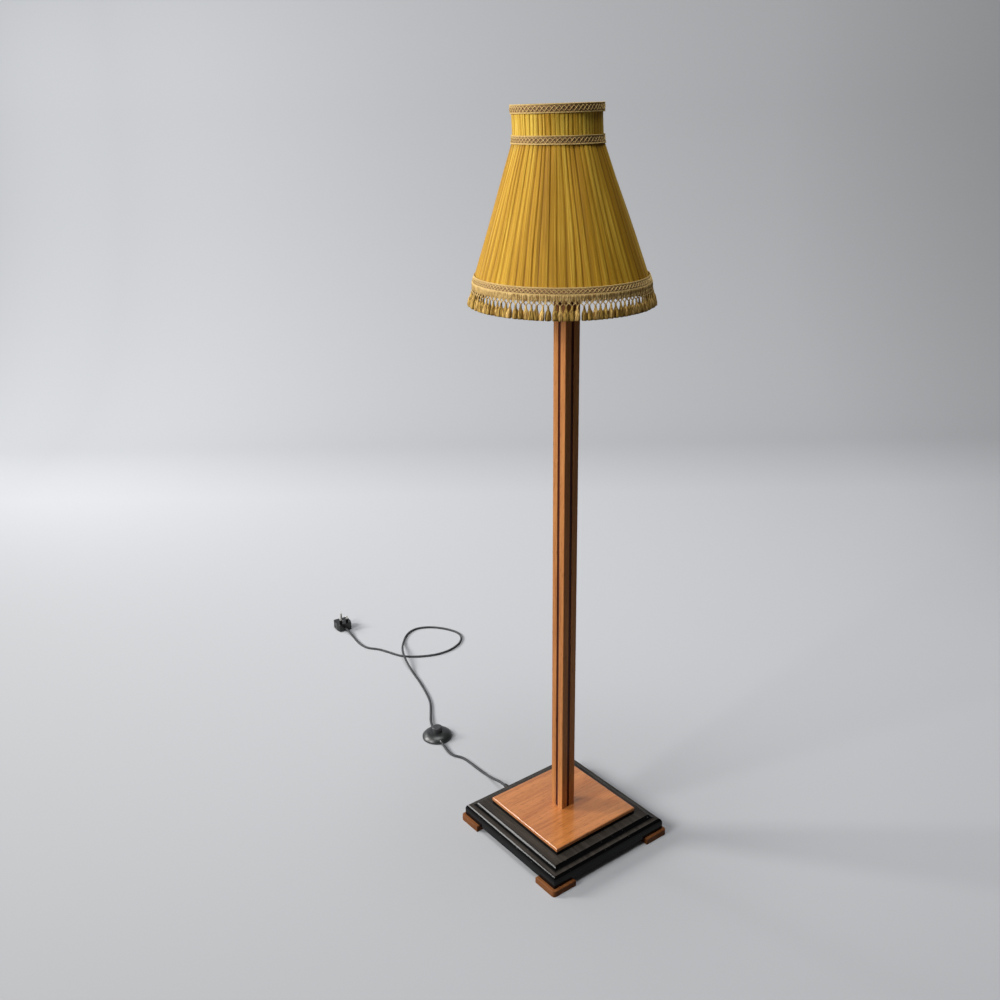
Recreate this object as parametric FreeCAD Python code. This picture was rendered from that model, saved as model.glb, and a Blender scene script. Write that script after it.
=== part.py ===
"""Standard lamp: square base on four feet, square column with inlaid faces, pleated and fringed shade,
and a flex with a foot switch and a three-pin plug.

Millimetres. The origin is on the floor under the column's axis and +Z is up. The sides of the base lie
along X and Y, and the flex leaves through the -X side of the base.
"""
import FreeCAD, Part

import math
import os

V = FreeCAD.Vector
X = V(1, 0, 0)
Y = V(0, 1, 0)
Z = V(0, 0, 1)

# ---- fits ----
gap = 0.2                # between pieces of wood, and of cloth, that only lie together
thread_gap = 0.05        # between a thread and its nut
pilot_gap = 0.1          # round a screw in its hole
seat_gap = 0.3           # under what rests loosely

# ---- base ----
feet_overhang = 7.5      # how far the feet stand out past the plinth
foot_side = 64.0
foot_height = 15.0
foot_corner = 7.0        # round on a foot's outer corner
foot_arris = 1.2
plinth_span = 334.0
plinth_height = 37.0
fascia_height = 15.8     # upright band at the foot of the plinth's moulding
ovolo_rise = 12.0        # the round above the fascia
ovolo_run = 6.0
quirk = 1.2              # the small flat between the round and the hollow
plinth_flat_span = 286.0  # flat top inside the moulding
hollow_sag = 2.4         # how far the hollow dips under a straight slope
panel_span = 240.0
panel_thickness = 8.0
riser_height = 9.0       # square step that the plinth carries the panel on
riser_span = 239.0
panel_arris = 2.2
well_radius = 52.0       # wiring well through the plinth
cover_radius = 62.0      # plate that closes the well below
cover_thickness = 3.0
foot_screw_length = 32.0
foot_screw_radius = 2.2
foot_screw_inset = 16.0  # from a foot's centre, along its diagonal
panel_screw_length = 34.5
panel_screw_radius = 2.4
panel_screw_place = 78.0
panel_screw_sink = 17.0  # depth of the counterbore under a panel screw
counterbore_radius = 6.0
cover_screw_length = 12.0
cover_screw_radius = 1.6
cover_screw_count = 3

# ---- column ----
column_side = 38.0
column_top = 1330.0
column_arris = 0.8
spigot_radius = 14.0     # round tenon in the panel and the plinth
inlay_width = 7.5
inlay_depth = 3.0        # depth of the groove
inlay_recess = 1.2       # how far the strip lies below the face
tube_radius = 6.35       # half-inch threaded tube
tube_bore = 4.2
tube_above = 20.0        # how far the tube stands above the column
tube_below = 7.5         # how far it stands into the well
bottom_washer_radius = 20.0
washer_thickness = 2.0
nut_flats = 19.0
nut_height = 5.0
plate_side = 36.0
plate_thickness = 2.0
plate_screw_place = 13.5
plate_screw_length = 16.0
plate_screw_radius = 1.5

# ---- lampholder and bulb ----
holder_radius = 18.5     # skirt that the shade carrier stands on
holder_cap_height = 26.0
holder_wall = 1.2
barrel_radius = 14.3
barrel_bore = 11.7
barrel_height = 24.0
skirt_height = 12.0
core_rise = 14.0         # foot of the insulator above the cap's foot
core_flange = 12.0
core_height = 31.0
core_radius = 11.2
plunger_radius = 1.75
plunger_place = 4.5
plunger_length = 12.0
spring_length = 8.0
bulb_push = 2.0          # travel of the bulb against the plungers
cap_clear = 1.0          # left between bulb cap and insulator when pushed home
bulb_cap_radius = 11.0
bulb_cap_height = 27.0
bulb_pin_radius = 1.0
bulb_pin_reach = 2.2
bulb_pin_rise = 7.0
bulb_radius = 30.0
bulb_rise = 74.0         # centre of the globe above the cap's foot
bulb_wall = 0.9
slot_clear = 0.3
shade_ring_height = 6.5
shade_ring_radius = 19.0

# ---- shade: levels, radii, and how it stands ----
rim_top = 1630.5
collar_height = 64.5     # from the collar's foot to its rim
rim_bottom = 1304.0
fringe_low = 1258.0
top_radius = 87.6
collar_radius = 87.0
bottom_radius = 176.0
lean_heading = 233.0     # the shade stands off the column's axis this way, in degrees from +X
lean_at_fringe = 9.0
lean_at_top = 21.5
top_tilt = 1.0           # slope of the top ring, down towards lean_heading, in degrees
pleat_count = 64
pleat_depth = 1.8
cloth_depth = 3.0        # pleated cloth, from its inner face to its crests
wire_radius = 1.5
rib_count = 8
lining_thickness = 0.8
braid_thickness = 1.5
top_braid_width = 16.5
collar_braid_above = 10.0
collar_braid_below = 6.0
bottom_braid_width = 14.0
heading_height = 8.0
heading_thickness = 1.6
tassel_count = 104
tassel_neck = 0.9
tassel_neck_length = 19.0
tassel_radius = 5.3
tassel_flare = 6.5       # how far outwards a tassel hangs, in degrees

# ---- shade carrier and gimbal ----
carrier_level = 1540.0   # centre of the carrier's upper ring
carrier_ring_radius = 50.0
carrier_wire = 2.0
carrier_arm_radius = 1.75
carrier_foot_radius = 24.0
carrier_foot_thickness = 1.5
gimbal_outer = 55.0
gimbal_thickness = 1.5
gimbal_lip = 4.0
pivot_rise = 10.0        # pivots above the gimbal ring's seat
pivot_radius = 1.6
lug_width = 12.0
eye_radius = 5.0

# ---- flex ----
flex_diameter = 6.5
outlet_y = -29.0         # where the flex leaves the -X side of the base
outlet_rise = 8.2        # above the plinth's underside
outlet_clearance = 2.2   # round the flex in its hole through the plinth
sleeve_reach = 22.0      # rubber sleeve outside the plinth
sleeve_depth = 12.0      # and inside it
sleeve_radius = 6.4
sleeve_tip_radius = 4.7
sleeve_flange = 7.8
sleeve_flange_thickness = 2.0

# ---- foot switch ----
switch_x = -505.0
switch_y = -21.5
switch_heading = -16.5   # the way its two cord ports face, in degrees from +X
switch_radius = 41.0
switch_edge = 6.0        # height of the upright edge
switch_crown = 18.5      # height of the dome at the button
switch_wall = 2.2
switch_port_reach = 45.0
switch_port_radius = 5.2
switch_port_height = 6.5
switch_port_depth = 5.0  # how far the flex goes into a port
button_radius = 13.5
button_top = 32.5
button_travel = 4.0
button_flange = 2.0
button_gap = 0.3

# ---- plug, on its back with the pins up ----
plug_x = -1223.0         # middle of the line and neutral pins
plug_y = 91.0
plug_heading = -6.0      # the way its cord leaves
plug_width = 49.0
plug_front = 15.0        # from the line and neutral pins to the cord's side
plug_back = 33.0         # and to the far side
plug_thickness = 27.0
plug_split = 13.0        # thickness of the half that holds the pins
plug_wall = 2.2
plug_corner = 7.0
pin_spread = 22.2        # between line and neutral, and from their line to the earth pin
line_pin_size = (4.0, 6.35, 17.7)
earth_pin_size = (8.0, 4.0, 22.7)
sleeve_height = 9.0
sleeve_thickness = 0.5
pin_root = 9.0
fuse_radius = 3.17
fuse_length = 25.4
plug_port_height = 9.8

# ---- heights and places that follow from the sizes above ----
plinth_top = foot_height + plinth_height
riser_top = plinth_top + riser_height
panel_top = riser_top + panel_thickness
feet_span = plinth_span + 2 * feet_overhang
collar_level = rim_top - collar_height
outlet_z = foot_height + outlet_rise
tube_low = plinth_top - tube_below
tube_high = column_top + tube_above
top_nut_foot = column_top + plate_thickness
holder_foot = top_nut_foot + nut_height
holder_skirt = holder_foot + holder_cap_height
shoulder = holder_skirt + skirt_height
barrel_top = shoulder + barrel_height
core_foot = holder_foot + core_rise
core_top = core_foot + core_height
bulb_foot = core_top + cap_clear + bulb_push
bulb_pin_z = bulb_foot + bulb_pin_rise
plunger_foot = bulb_foot - plunger_length
spring_foot = plunger_foot - spring_length
frame_inset = cloth_depth + seat_gap + wire_radius
lining_inset = frame_inset + wire_radius + seat_gap
gimbal_seat = carrier_level + carrier_wire + seat_gap
pivot_level = gimbal_seat + pivot_rise
lean_slope = (lean_at_top - lean_at_fringe) / (rim_top - fringe_low)


def save(name, shape):
    shape.exportStep(f"parts/{name}.step")


def heading_vector(degrees):
    return V(math.cos(math.radians(degrees)), math.sin(math.radians(degrees)), 0)


def polygon(points):
    return Part.makePolygon(list(points) + [points[0]])


def turned(outline, centre=V(0, 0, 0)):
    """Solid of revolution about an upright axis; outline is a closed list of (radius, height)."""
    face = Part.Face(polygon([V(r, 0, z) for r, z in outline]))
    solid = face.revolve(V(0, 0, 0), Z, 360)
    solid.translate(centre)
    return solid


def disc(radius, low, high, centre=V(0, 0, 0)):
    return Part.makeCylinder(radius, high - low, centre + V(0, 0, low))


def rod(start, end, radius):
    return Part.makeCylinder(radius, (end - start).Length, start, end - start)


def block(size_x, size_y, low, high, centre=V(0, 0, 0)):
    """Upright block centred on centre, between two heights."""
    corner = centre + V(-size_x / 2, -size_y / 2, low)
    return Part.makeBox(size_x, size_y, high - low, corner)


def hexagon(flats, low, high, bore):
    corners = [heading_vector(60 * k + 30) * (flats / math.sqrt(3)) + V(0, 0, low) for k in range(6)]
    return Part.Face(polygon(corners)).extrude(V(0, 0, high - low)).cut(disc(bore, low, high))


def upright_edges(shape, keep):
    """Straight edges along Z whose middle passes the test."""
    found = []
    for edge in shape.Edges:
        a = edge.Vertexes[0].Point
        b = edge.Vertexes[-1].Point
        if abs(abs(b.z - a.z) - edge.Length) < 1e-6 and edge.Length > 1 and keep((a + b) * 0.5):
            found.append(edge)
    return found


def level_edges(shape, height, keep=lambda middle: True):
    """Edges that lie at one height and whose middle passes the test."""
    return [edge for edge in shape.Edges
            if abs(edge.BoundBox.ZMin - height) < 1e-6 and abs(edge.BoundBox.ZMax - height) < 1e-6
            and keep(edge.CenterOfMass)]


def wood_screw(length, radius, head=None):
    """Countersunk slotted screw, point up, with its head's face at z = 0."""
    head = head or radius * 2.0
    outline = [(0, 0), (head, 0), (head, 0.4), (radius, head - radius + 0.4), (radius, length - radius * 2),
               (0, length)]
    slot = block(head * 2.2, radius * 0.4, -1, radius * 0.45)
    return turned(outline).cut(slot)


def screw_hole(length, radius, head=None):
    """What a wood screw takes away, with a little room round it."""
    head = (head or radius * 2.0) + pilot_gap
    radius = radius + pilot_gap
    outline = [(0, -0.01), (head, -0.01), (head, 0.4 + pilot_gap), (radius, head - radius + 0.4 + pilot_gap),
               (radius, length + pilot_gap), (0, length + pilot_gap)]
    return turned(outline)


def moved(shape, place, turn=0.0):
    """Copy turned about Z and then moved."""
    copy = shape.copy()
    copy.rotate(V(0, 0, 0), Z, turn)
    copy.translate(place)
    return copy


def flipped(shape):
    """Copy turned upside down about X."""
    copy = shape.copy()
    copy.rotate(V(0, 0, 0), X, 180)
    return copy


# ---------------------------------------------------------------- base

corners = {"front_left": (-1, -1), "front_right": (1, -1), "back_right": (1, 1), "back_left": (-1, 1)}


def foot_centre(sx, sy):
    place = feet_span / 2 - foot_side / 2
    return V(sx * place, sy * place, 0)


def foot_screw_places():
    """Two screws in each foot, along the foot's diagonal."""
    places = []
    for sx, sy in corners.values():
        centre = foot_centre(sx, sy)
        for side in (-1, 1):
            step = side * foot_screw_inset / math.sqrt(2)
            places.append(centre + V(sx * step, -sy * step, 0))
    return places


def foot(sx, sy):
    body = block(foot_side, foot_side, 0, foot_height, foot_centre(sx, sy))
    outer = upright_edges(body, lambda m: m.x * sx > feet_span / 2 - 1 and m.y * sy > feet_span / 2 - 1)
    body = body.makeFillet(foot_corner, outer)
    body = body.makeChamfer(foot_arris, level_edges(body, foot_height))
    for place in foot_screw_places():
        body = body.cut(moved(screw_hole(foot_screw_length, foot_screw_radius), place))
    return body


def plinth():
    """Square block whose four sides carry one moulding, mitred at the corners, with a step on top."""
    half = plinth_span / 2
    flat = plinth_flat_span / 2
    fascia_top = foot_height + fascia_height
    round_top = V(half - ovolo_run, 0, fascia_top + ovolo_rise)
    hollow_foot = round_top - V(quirk, 0, 0)
    hollow_top = V(flat, 0, plinth_top)
    round_middle = V(half - ovolo_run * 0.22, 0, fascia_top + ovolo_rise * 0.55)
    slope = (hollow_top - hollow_foot).normalize()
    hollow_middle = (hollow_foot + hollow_top) * 0.5 - V(slope.z, 0, -slope.x) * hollow_sag

    def mirrored(p):
        return V(-p.x, p.y, p.z)

    def line(a, b):
        return Part.LineSegment(a, b).toShape()

    low = V(half, 0, foot_height)
    fascia = V(half, 0, fascia_top)
    edges = [line(mirrored(low), low), line(low, fascia),
             Part.Arc(fascia, round_middle, round_top).toShape(), line(round_top, hollow_foot),
             Part.Arc(hollow_foot, hollow_middle, hollow_top).toShape(),
             line(hollow_top, mirrored(hollow_top)),
             Part.Arc(mirrored(hollow_top), mirrored(hollow_middle), mirrored(hollow_foot)).toShape(),
             line(mirrored(hollow_foot), mirrored(round_top)),
             Part.Arc(mirrored(round_top), mirrored(round_middle), mirrored(fascia)).toShape(),
             line(mirrored(fascia), mirrored(low))]
    strip = Part.Face(Part.Wire(edges)).extrude(V(0, plinth_span, 0))
    strip.translate(V(0, -half, 0))
    body = strip.common(moved(strip, V(0, 0, 0), 90))
    body = body.fuse(block(riser_span, riser_span, plinth_top, riser_top))
    body = body.cut(disc(well_radius, foot_height - 1, plinth_top))
    body = body.cut(disc(spigot_radius + gap, plinth_top - 1, riser_top + 1))
    body = body.cut(rod(V(-half - 1, outlet_y, outlet_z), V(0, outlet_y, outlet_z),
                        flex_diameter / 2 + outlet_clearance))
    body = body.cut(rod(V(-half - 1, outlet_y, outlet_z), V(-half + sleeve_depth, outlet_y, outlet_z),
                        sleeve_radius + pilot_gap))
    for place in foot_screw_places():
        body = body.cut(moved(screw_hole(foot_screw_length, foot_screw_radius), place))
    for place in panel_screw_places():
        body = body.cut(moved(screw_hole(panel_screw_length, panel_screw_radius), place))
        body = body.cut(disc(counterbore_radius, foot_height - 1, place.z, V(place.x, place.y, 0)))
    for place in cover_screw_places():
        body = body.cut(moved(screw_hole(cover_screw_length, cover_screw_radius), place))
    return body


def panel_screw_places():
    height = foot_height + panel_screw_sink
    return [V(sx * panel_screw_place, sy * panel_screw_place, height) for sx, sy in corners.values()]


def panel():
    body = block(panel_span, panel_span, riser_top, panel_top)
    body = body.makeFillet(panel_arris, level_edges(body, panel_top))
    body = body.cut(disc(spigot_radius + gap, riser_top - 1, panel_top + 1))
    for place in panel_screw_places():
        body = body.cut(moved(screw_hole(panel_screw_length, panel_screw_radius), place))
    return body


def cover_screw_places():
    step = 360 / cover_screw_count
    ring = (well_radius + cover_radius) / 2
    return [heading_vector(30 + k * step) * ring + V(0, 0, foot_height - cover_thickness)
            for k in range(cover_screw_count)]


def well_cover():
    body = disc(cover_radius, foot_height - cover_thickness, foot_height)
    for place in cover_screw_places():
        body = body.cut(moved(screw_hole(cover_screw_length, cover_screw_radius), place))
    return body


def screws(length, radius, places):
    return Part.makeCompound([moved(wood_screw(length, radius), place) for place in places])


def outlet_sleeve():
    """Rubber sleeve in the plinth's side, tapered outside it."""
    bore = flex_diameter / 2 + pilot_gap
    outline = [(bore, -sleeve_depth), (sleeve_radius, -sleeve_depth), (sleeve_radius, 0),
               (sleeve_flange, 0), (sleeve_flange, sleeve_flange_thickness),
               (sleeve_radius, sleeve_flange_thickness), (sleeve_tip_radius, sleeve_reach),
               (bore, sleeve_reach)]
    body = turned(outline)
    body.rotate(V(0, 0, 0), Y, -90)
    body.translate(V(-plinth_span / 2, outlet_y, outlet_z))
    return body


# ---------------------------------------------------------------- column

def column_half(side):
    """One of two glued halves; the joint runs under the inlay of two faces."""
    half = column_side / 2
    body = block(column_side, column_side, panel_top, column_top)
    body = body.makeChamfer(column_arris, upright_edges(body, lambda m: True))
    for turn in (0, 90, 180, 270):
        groove = block(inlay_depth, inlay_width + 2 * pilot_gap, panel_top - 1, column_top + 1,
                       V(half - inlay_depth / 2, 0, 0))
        body = body.cut(moved(groove, V(0, 0, 0), turn))
    body = body.fuse(disc(spigot_radius, plinth_top, panel_top))
    body = body.cut(disc(tube_radius + gap, plinth_top - 1, column_top + 1))
    for place in plate_screw_places():
        body = body.cut(moved(flipped(screw_hole(plate_screw_length, plate_screw_radius)), place))
    keep = block(column_side, column_side * 2, plinth_top - 1, column_top + 1,
                 V(side * column_side / 2, 0, 0))
    return body.common(keep)


def inlays():
    half = column_side / 2
    depth = inlay_depth - inlay_recess
    strip = block(depth, inlay_width, panel_top, column_top,
                  V(half - inlay_recess - depth / 2, 0, 0))
    return Part.makeCompound([moved(strip, V(0, 0, 0), turn) for turn in (0, 90, 180, 270)])


def tube_ring(outer, low, high):
    return disc(outer, low, high).cut(disc(tube_radius + thread_gap, low, high))


def plate_screw_places():
    places = []
    for sx, sy in corners.values():
        places.append(V(sx * plate_screw_place, sy * plate_screw_place, column_top + plate_thickness))
    return places


def top_plate():
    body = block(plate_side, plate_side, column_top, column_top + plate_thickness)
    body = body.makeFillet(3.0, upright_edges(body, lambda m: True))
    body = body.cut(disc(tube_radius + thread_gap, column_top, column_top + plate_thickness))
    for place in plate_screw_places():
        body = body.cut(moved(flipped(screw_hole(plate_screw_length, plate_screw_radius)), place))
    return body


# ---------------------------------------------------------------- lampholder and bulb

def holder_cap():
    """Domed brass cap, screwed on the tube."""
    low = holder_foot
    bore = tube_radius + thread_gap
    core = core_foot - seat_gap
    outline = [(bore, low), (bore + 3, low), (bore + 3, low + 8), (holder_radius - 2, low + 17),
               (holder_radius, low + 20), (holder_radius, holder_skirt),
               (holder_radius - holder_wall, holder_skirt), (holder_radius - holder_wall, core),
               (bore, core)]
    return turned(outline)


def insulator():
    """Ceramic core: wide foot in the cap, narrow head in the barrel, two bores for the plungers."""
    foot_radius = holder_radius - holder_wall - pilot_gap
    outline = [(0, core_foot), (foot_radius, core_foot), (foot_radius, core_foot + core_flange),
               (core_radius, core_foot + core_flange), (core_radius, core_top), (0, core_top)]
    body = turned(outline)
    for place in plunger_places():
        body = body.cut(disc(plunger_radius + pilot_gap, spring_foot, core_top + 1, place))
    return body


def plunger_places():
    return [V(side * plunger_place, 0, 0) for side in (-1, 1)]


def plungers():
    return Part.makeCompound([disc(plunger_radius, plunger_foot, bulb_foot, place)
                              for place in plunger_places()])


def plunger_springs():
    bore = plunger_radius * 0.6
    coils = []
    for place in plunger_places():
        coils.append(disc(plunger_radius - 0.05, spring_foot, plunger_foot, place)
                     .cut(disc(bore, spring_foot, plunger_foot, place)))
    return Part.makeCompound(coils)


def barrel_slot(turn):
    """Bayonet slot: an open leg down from the rim, a turn, and a notch that the bulb's pin rests in."""
    width = 2 * (bulb_pin_radius + slot_clear)
    low = bulb_pin_z - bulb_push - bulb_pin_radius - slot_clear
    notch_top = bulb_pin_z + bulb_pin_radius + slot_clear
    reach = barrel_radius + 4
    notch = block(reach, width, low, notch_top, V(reach / 2, 0, 0))
    leg = moved(block(reach, width, low, barrel_top + 1, V(reach / 2, 0, 0)), V(0, 0, 0), 24)
    sector = Part.makeCylinder(reach, bulb_pin_radius * 2 + slot_clear, V(0, 0, low), Z, 24)
    return moved(notch.fuse(leg).fuse(sector), V(0, 0, 0), turn)


def holder_shell():
    """Brass skirt and barrel."""
    inner = holder_radius - holder_wall
    core = core_foot + core_flange + seat_gap
    outline = [(inner, holder_skirt), (holder_radius, holder_skirt), (holder_radius, shoulder),
               (barrel_radius, shoulder), (barrel_radius, barrel_top), (barrel_bore, barrel_top),
               (barrel_bore, core), (inner, core)]
    body = turned(outline)
    for turn in (0, 180):
        body = body.cut(barrel_slot(turn))
    return body


def shade_ring():
    """Threaded ring that clamps the shade carrier on the shoulder."""
    low = shoulder + carrier_foot_thickness
    body = disc(shade_ring_radius, low, low + shade_ring_height)
    body = body.makeChamfer(0.8, level_edges(body, low + shade_ring_height))
    return body.cut(disc(barrel_radius + thread_gap, low, low + shade_ring_height))


def bulb_cap():
    top = bulb_foot + bulb_cap_height
    outline = [(0, bulb_foot), (bulb_cap_radius - 1.5, bulb_foot), (bulb_cap_radius, bulb_foot + 1.5),
               (bulb_cap_radius, top), (bulb_cap_radius - 1, top), (bulb_cap_radius - 1, bulb_foot + 6),
               (0, bulb_foot + 6)]
    pin = rod(V(-bulb_cap_radius - bulb_pin_reach, 0, bulb_pin_z),
              V(bulb_cap_radius + bulb_pin_reach, 0, bulb_pin_z), bulb_pin_radius)
    hollow = disc(bulb_cap_radius - 0.5, bulb_foot, top)
    return turned(outline).fuse(pin.cut(hollow))


def glass_outline(inset):
    """Half outline of the glass, from the neck to the crown, set in by a wall."""
    neck = bulb_cap_radius - 1 - pilot_gap - inset
    neck_low = bulb_foot + 10 + inset
    centre = bulb_foot + bulb_rise
    globe = bulb_radius - inset
    start = math.radians(-52)
    middle = (start + math.radians(90)) / 2

    def on_globe(angle):
        return V(globe * math.cos(angle), 0, centre + globe * math.sin(angle))

    shoulder_low = V(neck, 0, bulb_foot + bulb_cap_height + 3)
    return [Part.LineSegment(V(0, 0, neck_low), V(neck, 0, neck_low)).toShape(),
            Part.LineSegment(V(neck, 0, neck_low), shoulder_low).toShape(),
            Part.LineSegment(shoulder_low, on_globe(start)).toShape(),
            Part.Arc(on_globe(start), on_globe(middle), V(0, 0, centre + globe)).toShape(),
            Part.LineSegment(V(0, 0, centre + globe), V(0, 0, neck_low)).toShape()]


def bulb_glass():
    outer = Part.Face(Part.Wire(glass_outline(0))).revolve(V(0, 0, 0), Z, 360)
    inner = Part.Face(Part.Wire(glass_outline(bulb_wall))).revolve(V(0, 0, 0), Z, 360)
    return outer.cut(inner)


def bulb_mount():
    """Glass stem inside the bulb, with its support wires and filament."""
    low = bulb_foot + 10 + bulb_wall
    top = bulb_foot + bulb_rise - 18
    body = turned([(0, low), (6, low), (3, low + 14), (2.4, top), (0, top)])
    tip = bulb_foot + bulb_rise
    for side in (-1, 1):
        body = body.fuse(rod(V(side * 1.5, 0, top - 3), V(side * 9, 0, tip), 0.4))
    return body.fuse(rod(V(-9.3, 0, tip), V(9.3, 0, tip), 0.5))


# ---------------------------------------------------------------- shade carrier and gimbal

lean_way = heading_vector(lean_heading)
across = heading_vector(lean_heading + 90)


def lean(level):
    """Centre of the shade at a level: the carrier is bent, so the shade stands off the column's axis."""
    return lean_way * (lean_at_fringe + lean_slope * (level - fringe_low)) + V(0, 0, level)


def bent_rod(points, radius, bend):
    """Round bar through points, with one bend radius at its corners."""
    edges = []
    here = points[0]
    for before, corner, after in zip(points, points[1:], points[2:]):
        way_in = (corner - before).normalize()
        way_out = (after - corner).normalize()
        half_turn = way_in.getAngle(way_out) / 2
        reach = bend * math.tan(half_turn)
        start = corner - way_in * reach
        end = corner + way_out * reach
        inward = (way_out - way_in).normalize()
        middle = corner + inward * (bend / math.cos(half_turn) - bend)
        edges.append(Part.LineSegment(here, start).toShape())
        edges.append(Part.Arc(start, middle, end).toShape())
        here = end
    edges.append(Part.LineSegment(here, points[-1]).toShape())
    path = Part.Wire(edges)
    section = Part.Wire(Part.makeCircle(radius, points[0], points[1] - points[0]))
    return path.makePipeShell([section], True, False)


def shade_carrier():
    """Foot ring on the lampholder, two bent arms and the ring that carries the shade."""
    body = disc(carrier_foot_radius, shoulder, shoulder + carrier_foot_thickness)
    body = body.cut(disc(barrel_radius + pilot_gap, shoulder, shoulder + carrier_foot_thickness))
    centre = lean(carrier_level)
    body = body.fuse(Part.makeTorus(carrier_ring_radius, carrier_wire, centre, Z))
    for side in (-1, 1):
        foot_at = across * (side * (carrier_foot_radius - carrier_wire)) + V(0, 0, shoulder + 0.5)
        elbow = across * (side * (carrier_ring_radius - 4)) + V(0, 0, shoulder + 26)
        end = centre + across * (side * carrier_ring_radius)
        body = body.fuse(bent_rod([foot_at, foot_at + V(0, 0, 9), elbow, end], carrier_arm_radius, 8))
    return body


def pivot_centre():
    seat = lean(gimbal_seat)
    return V(seat.x, seat.y, pivot_level)


def gimbal_ring():
    """Ring that rests on the carrier, with a lip inside it and two lugs for the pivots."""
    inner = carrier_ring_radius - carrier_wire - gimbal_thickness - 0.6
    lip = inner + gimbal_thickness
    low = gimbal_seat
    outline = [(inner, low - gimbal_lip), (lip, low - gimbal_lip), (lip, low), (gimbal_outer, low),
               (gimbal_outer, low + gimbal_thickness), (inner, low + gimbal_thickness)]
    centre = lean(low)
    body = turned(outline, V(centre.x, centre.y, 0))
    for side in (-1, 1):
        place = centre + lean_way * (side * (gimbal_outer - gimbal_thickness / 2))
        lug = block(gimbal_thickness, lug_width, 0, pivot_rise + eye_radius)
        body = body.fuse(moved(lug, place, lean_heading))
    return body.cut(pivot_line(pivot_radius + 0.05))


def pivot_line(radius):
    """Straight bar through both pivots."""
    centre = pivot_centre()
    reach = lean_way * (gimbal_outer + 20)
    return rod(centre - reach, centre + reach, radius)


def gimbal_pivots():
    """Two shouldered pivot screws, riveted in the gimbal ring's lugs."""
    centre = pivot_centre()
    pivots = []
    for side in (-1, 1):
        way = lean_way * side
        tail = centre + way * (gimbal_outer - gimbal_thickness - 1.5)
        end = centre + way * (gimbal_outer + 5.2)
        shank = rod(tail, end, pivot_radius)
        head = rod(end - way * 1.6, end, 3.4)
        rivet = rod(tail, tail + way * 1.5, 2.6)
        pivots.append(shank.fuse(head).fuse(rivet))
    return Part.makeCompound(pivots)


def gimbal_arms():
    """Two arms from the shade's collar ring down to eyes on the pivots."""
    centre = pivot_centre()
    arms = []
    for side in (-1, 1):
        way = lean_way * side
        eye_at = centre + way * (gimbal_outer + 0.8)
        eye = rod(eye_at, eye_at + way * 2.2, eye_radius)
        ring = lean(collar_level) + way * (collar_radius - frame_inset - 2 * wire_radius)
        arm = rod(eye_at + way * 1.1 + V(0, 0, eye_radius + 0.3), ring, wire_radius)
        tip = rod(ring, ring + way * (wire_radius - 0.02), wire_radius)
        arms.append(eye.fuse(arm).fuse(tip).cut(rod(eye_at - way, eye_at + way * 4, pivot_radius + 0.05)))
    return Part.makeCompound(arms)


# ---------------------------------------------------------------- shade

def crest_radius(level):
    """Outer radius of the pleats at a level."""
    if level > collar_level:
        return collar_radius + (top_radius - collar_radius) * (level - collar_level) / collar_height
    share = (collar_level - level) / (collar_level - rim_bottom)
    return collar_radius + (bottom_radius - collar_radius) * share


def ring_slope(level):
    """The levels above the collar slope more and more towards the top."""
    share = max(0.0, (level - collar_level) / collar_height)
    return math.tan(math.radians(top_tilt)) * share


def ring_normal(level):
    return (lean_way * ring_slope(level) + Z).normalize()


def ring_point(level, radius, angle):
    """Point of the shade at a level, radius and angle round its leaning axis."""
    out = heading_vector(angle)
    drop = radius * out.dot(lean_way) * ring_slope(level)
    return lean(level) + out * radius - V(0, 0, drop)


def ring_wire(level, radius):
    return Part.Wire(Part.makeCircle(radius, lean(level), ring_normal(level)))


def skin(levels, outer, thickness):
    """Closed band round the shade: outer gives its radius at each level."""
    outside = [ring_wire(z, outer(z)) for z in levels]
    inside = [ring_wire(z, outer(z) - thickness) for z in levels]
    body = None
    for k in range(len(levels) - 1):
        part = Part.makeLoft(outside[k:k + 2], True, True).cut(Part.makeLoft(inside[k:k + 2], True, True))
        body = part if body is None else body.fuse(part)
    return body.removeSplitter()


def pleat_wire(level, depth):
    """Zigzag round the shade; the pleats' widths vary a little, as gathered cloth does."""
    points = []
    step = 360 / pleat_count
    for k in range(pleat_count):
        angle = k * step + 0.22 * step * math.sin(k * 2.4)
        points.append(ring_point(level, crest_radius(level), angle))
        points.append(ring_point(level, crest_radius(level) - depth, angle + step * 0.42))
    return polygon(points)


def pleated(low, high, depth_low, depth_high):
    outside = Part.makeLoft([pleat_wire(low, depth_low), pleat_wire(high, depth_high)], True, True)
    inside = Part.makeLoft([ring_wire(z, crest_radius(z) - cloth_depth) for z in (low, high)], True, True)
    return outside.cut(inside)


def shade_frame():
    """Welded wire frame: three rings joined by eight ribs."""
    levels = (rim_bottom + 6, collar_level, rim_top - 2.5)
    body = None
    for z in levels:
        torus = Part.makeTorus(crest_radius(z) - frame_inset, wire_radius, lean(z), ring_normal(z))
        body = torus if body is None else body.fuse(torus)
    for k in range(rib_count):
        angle = 360 / rib_count * (k + 0.5) + lean_heading
        points = [ring_point(z, crest_radius(z) - frame_inset, angle) for z in levels]
        for a, b in zip(points, points[1:]):
            body = body.fuse(rod(a, b, wire_radius))
    return body


def braid(levels):
    return skin(levels, lambda z: crest_radius(z) + gap + braid_thickness, braid_thickness)


def fringe_heading():
    """Woven band that the tassels hang from, right under the bottom braid."""
    outer = bottom_radius + gap + braid_thickness
    return skin((rim_bottom - heading_height, rim_bottom), lambda z: outer, heading_thickness)


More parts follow.
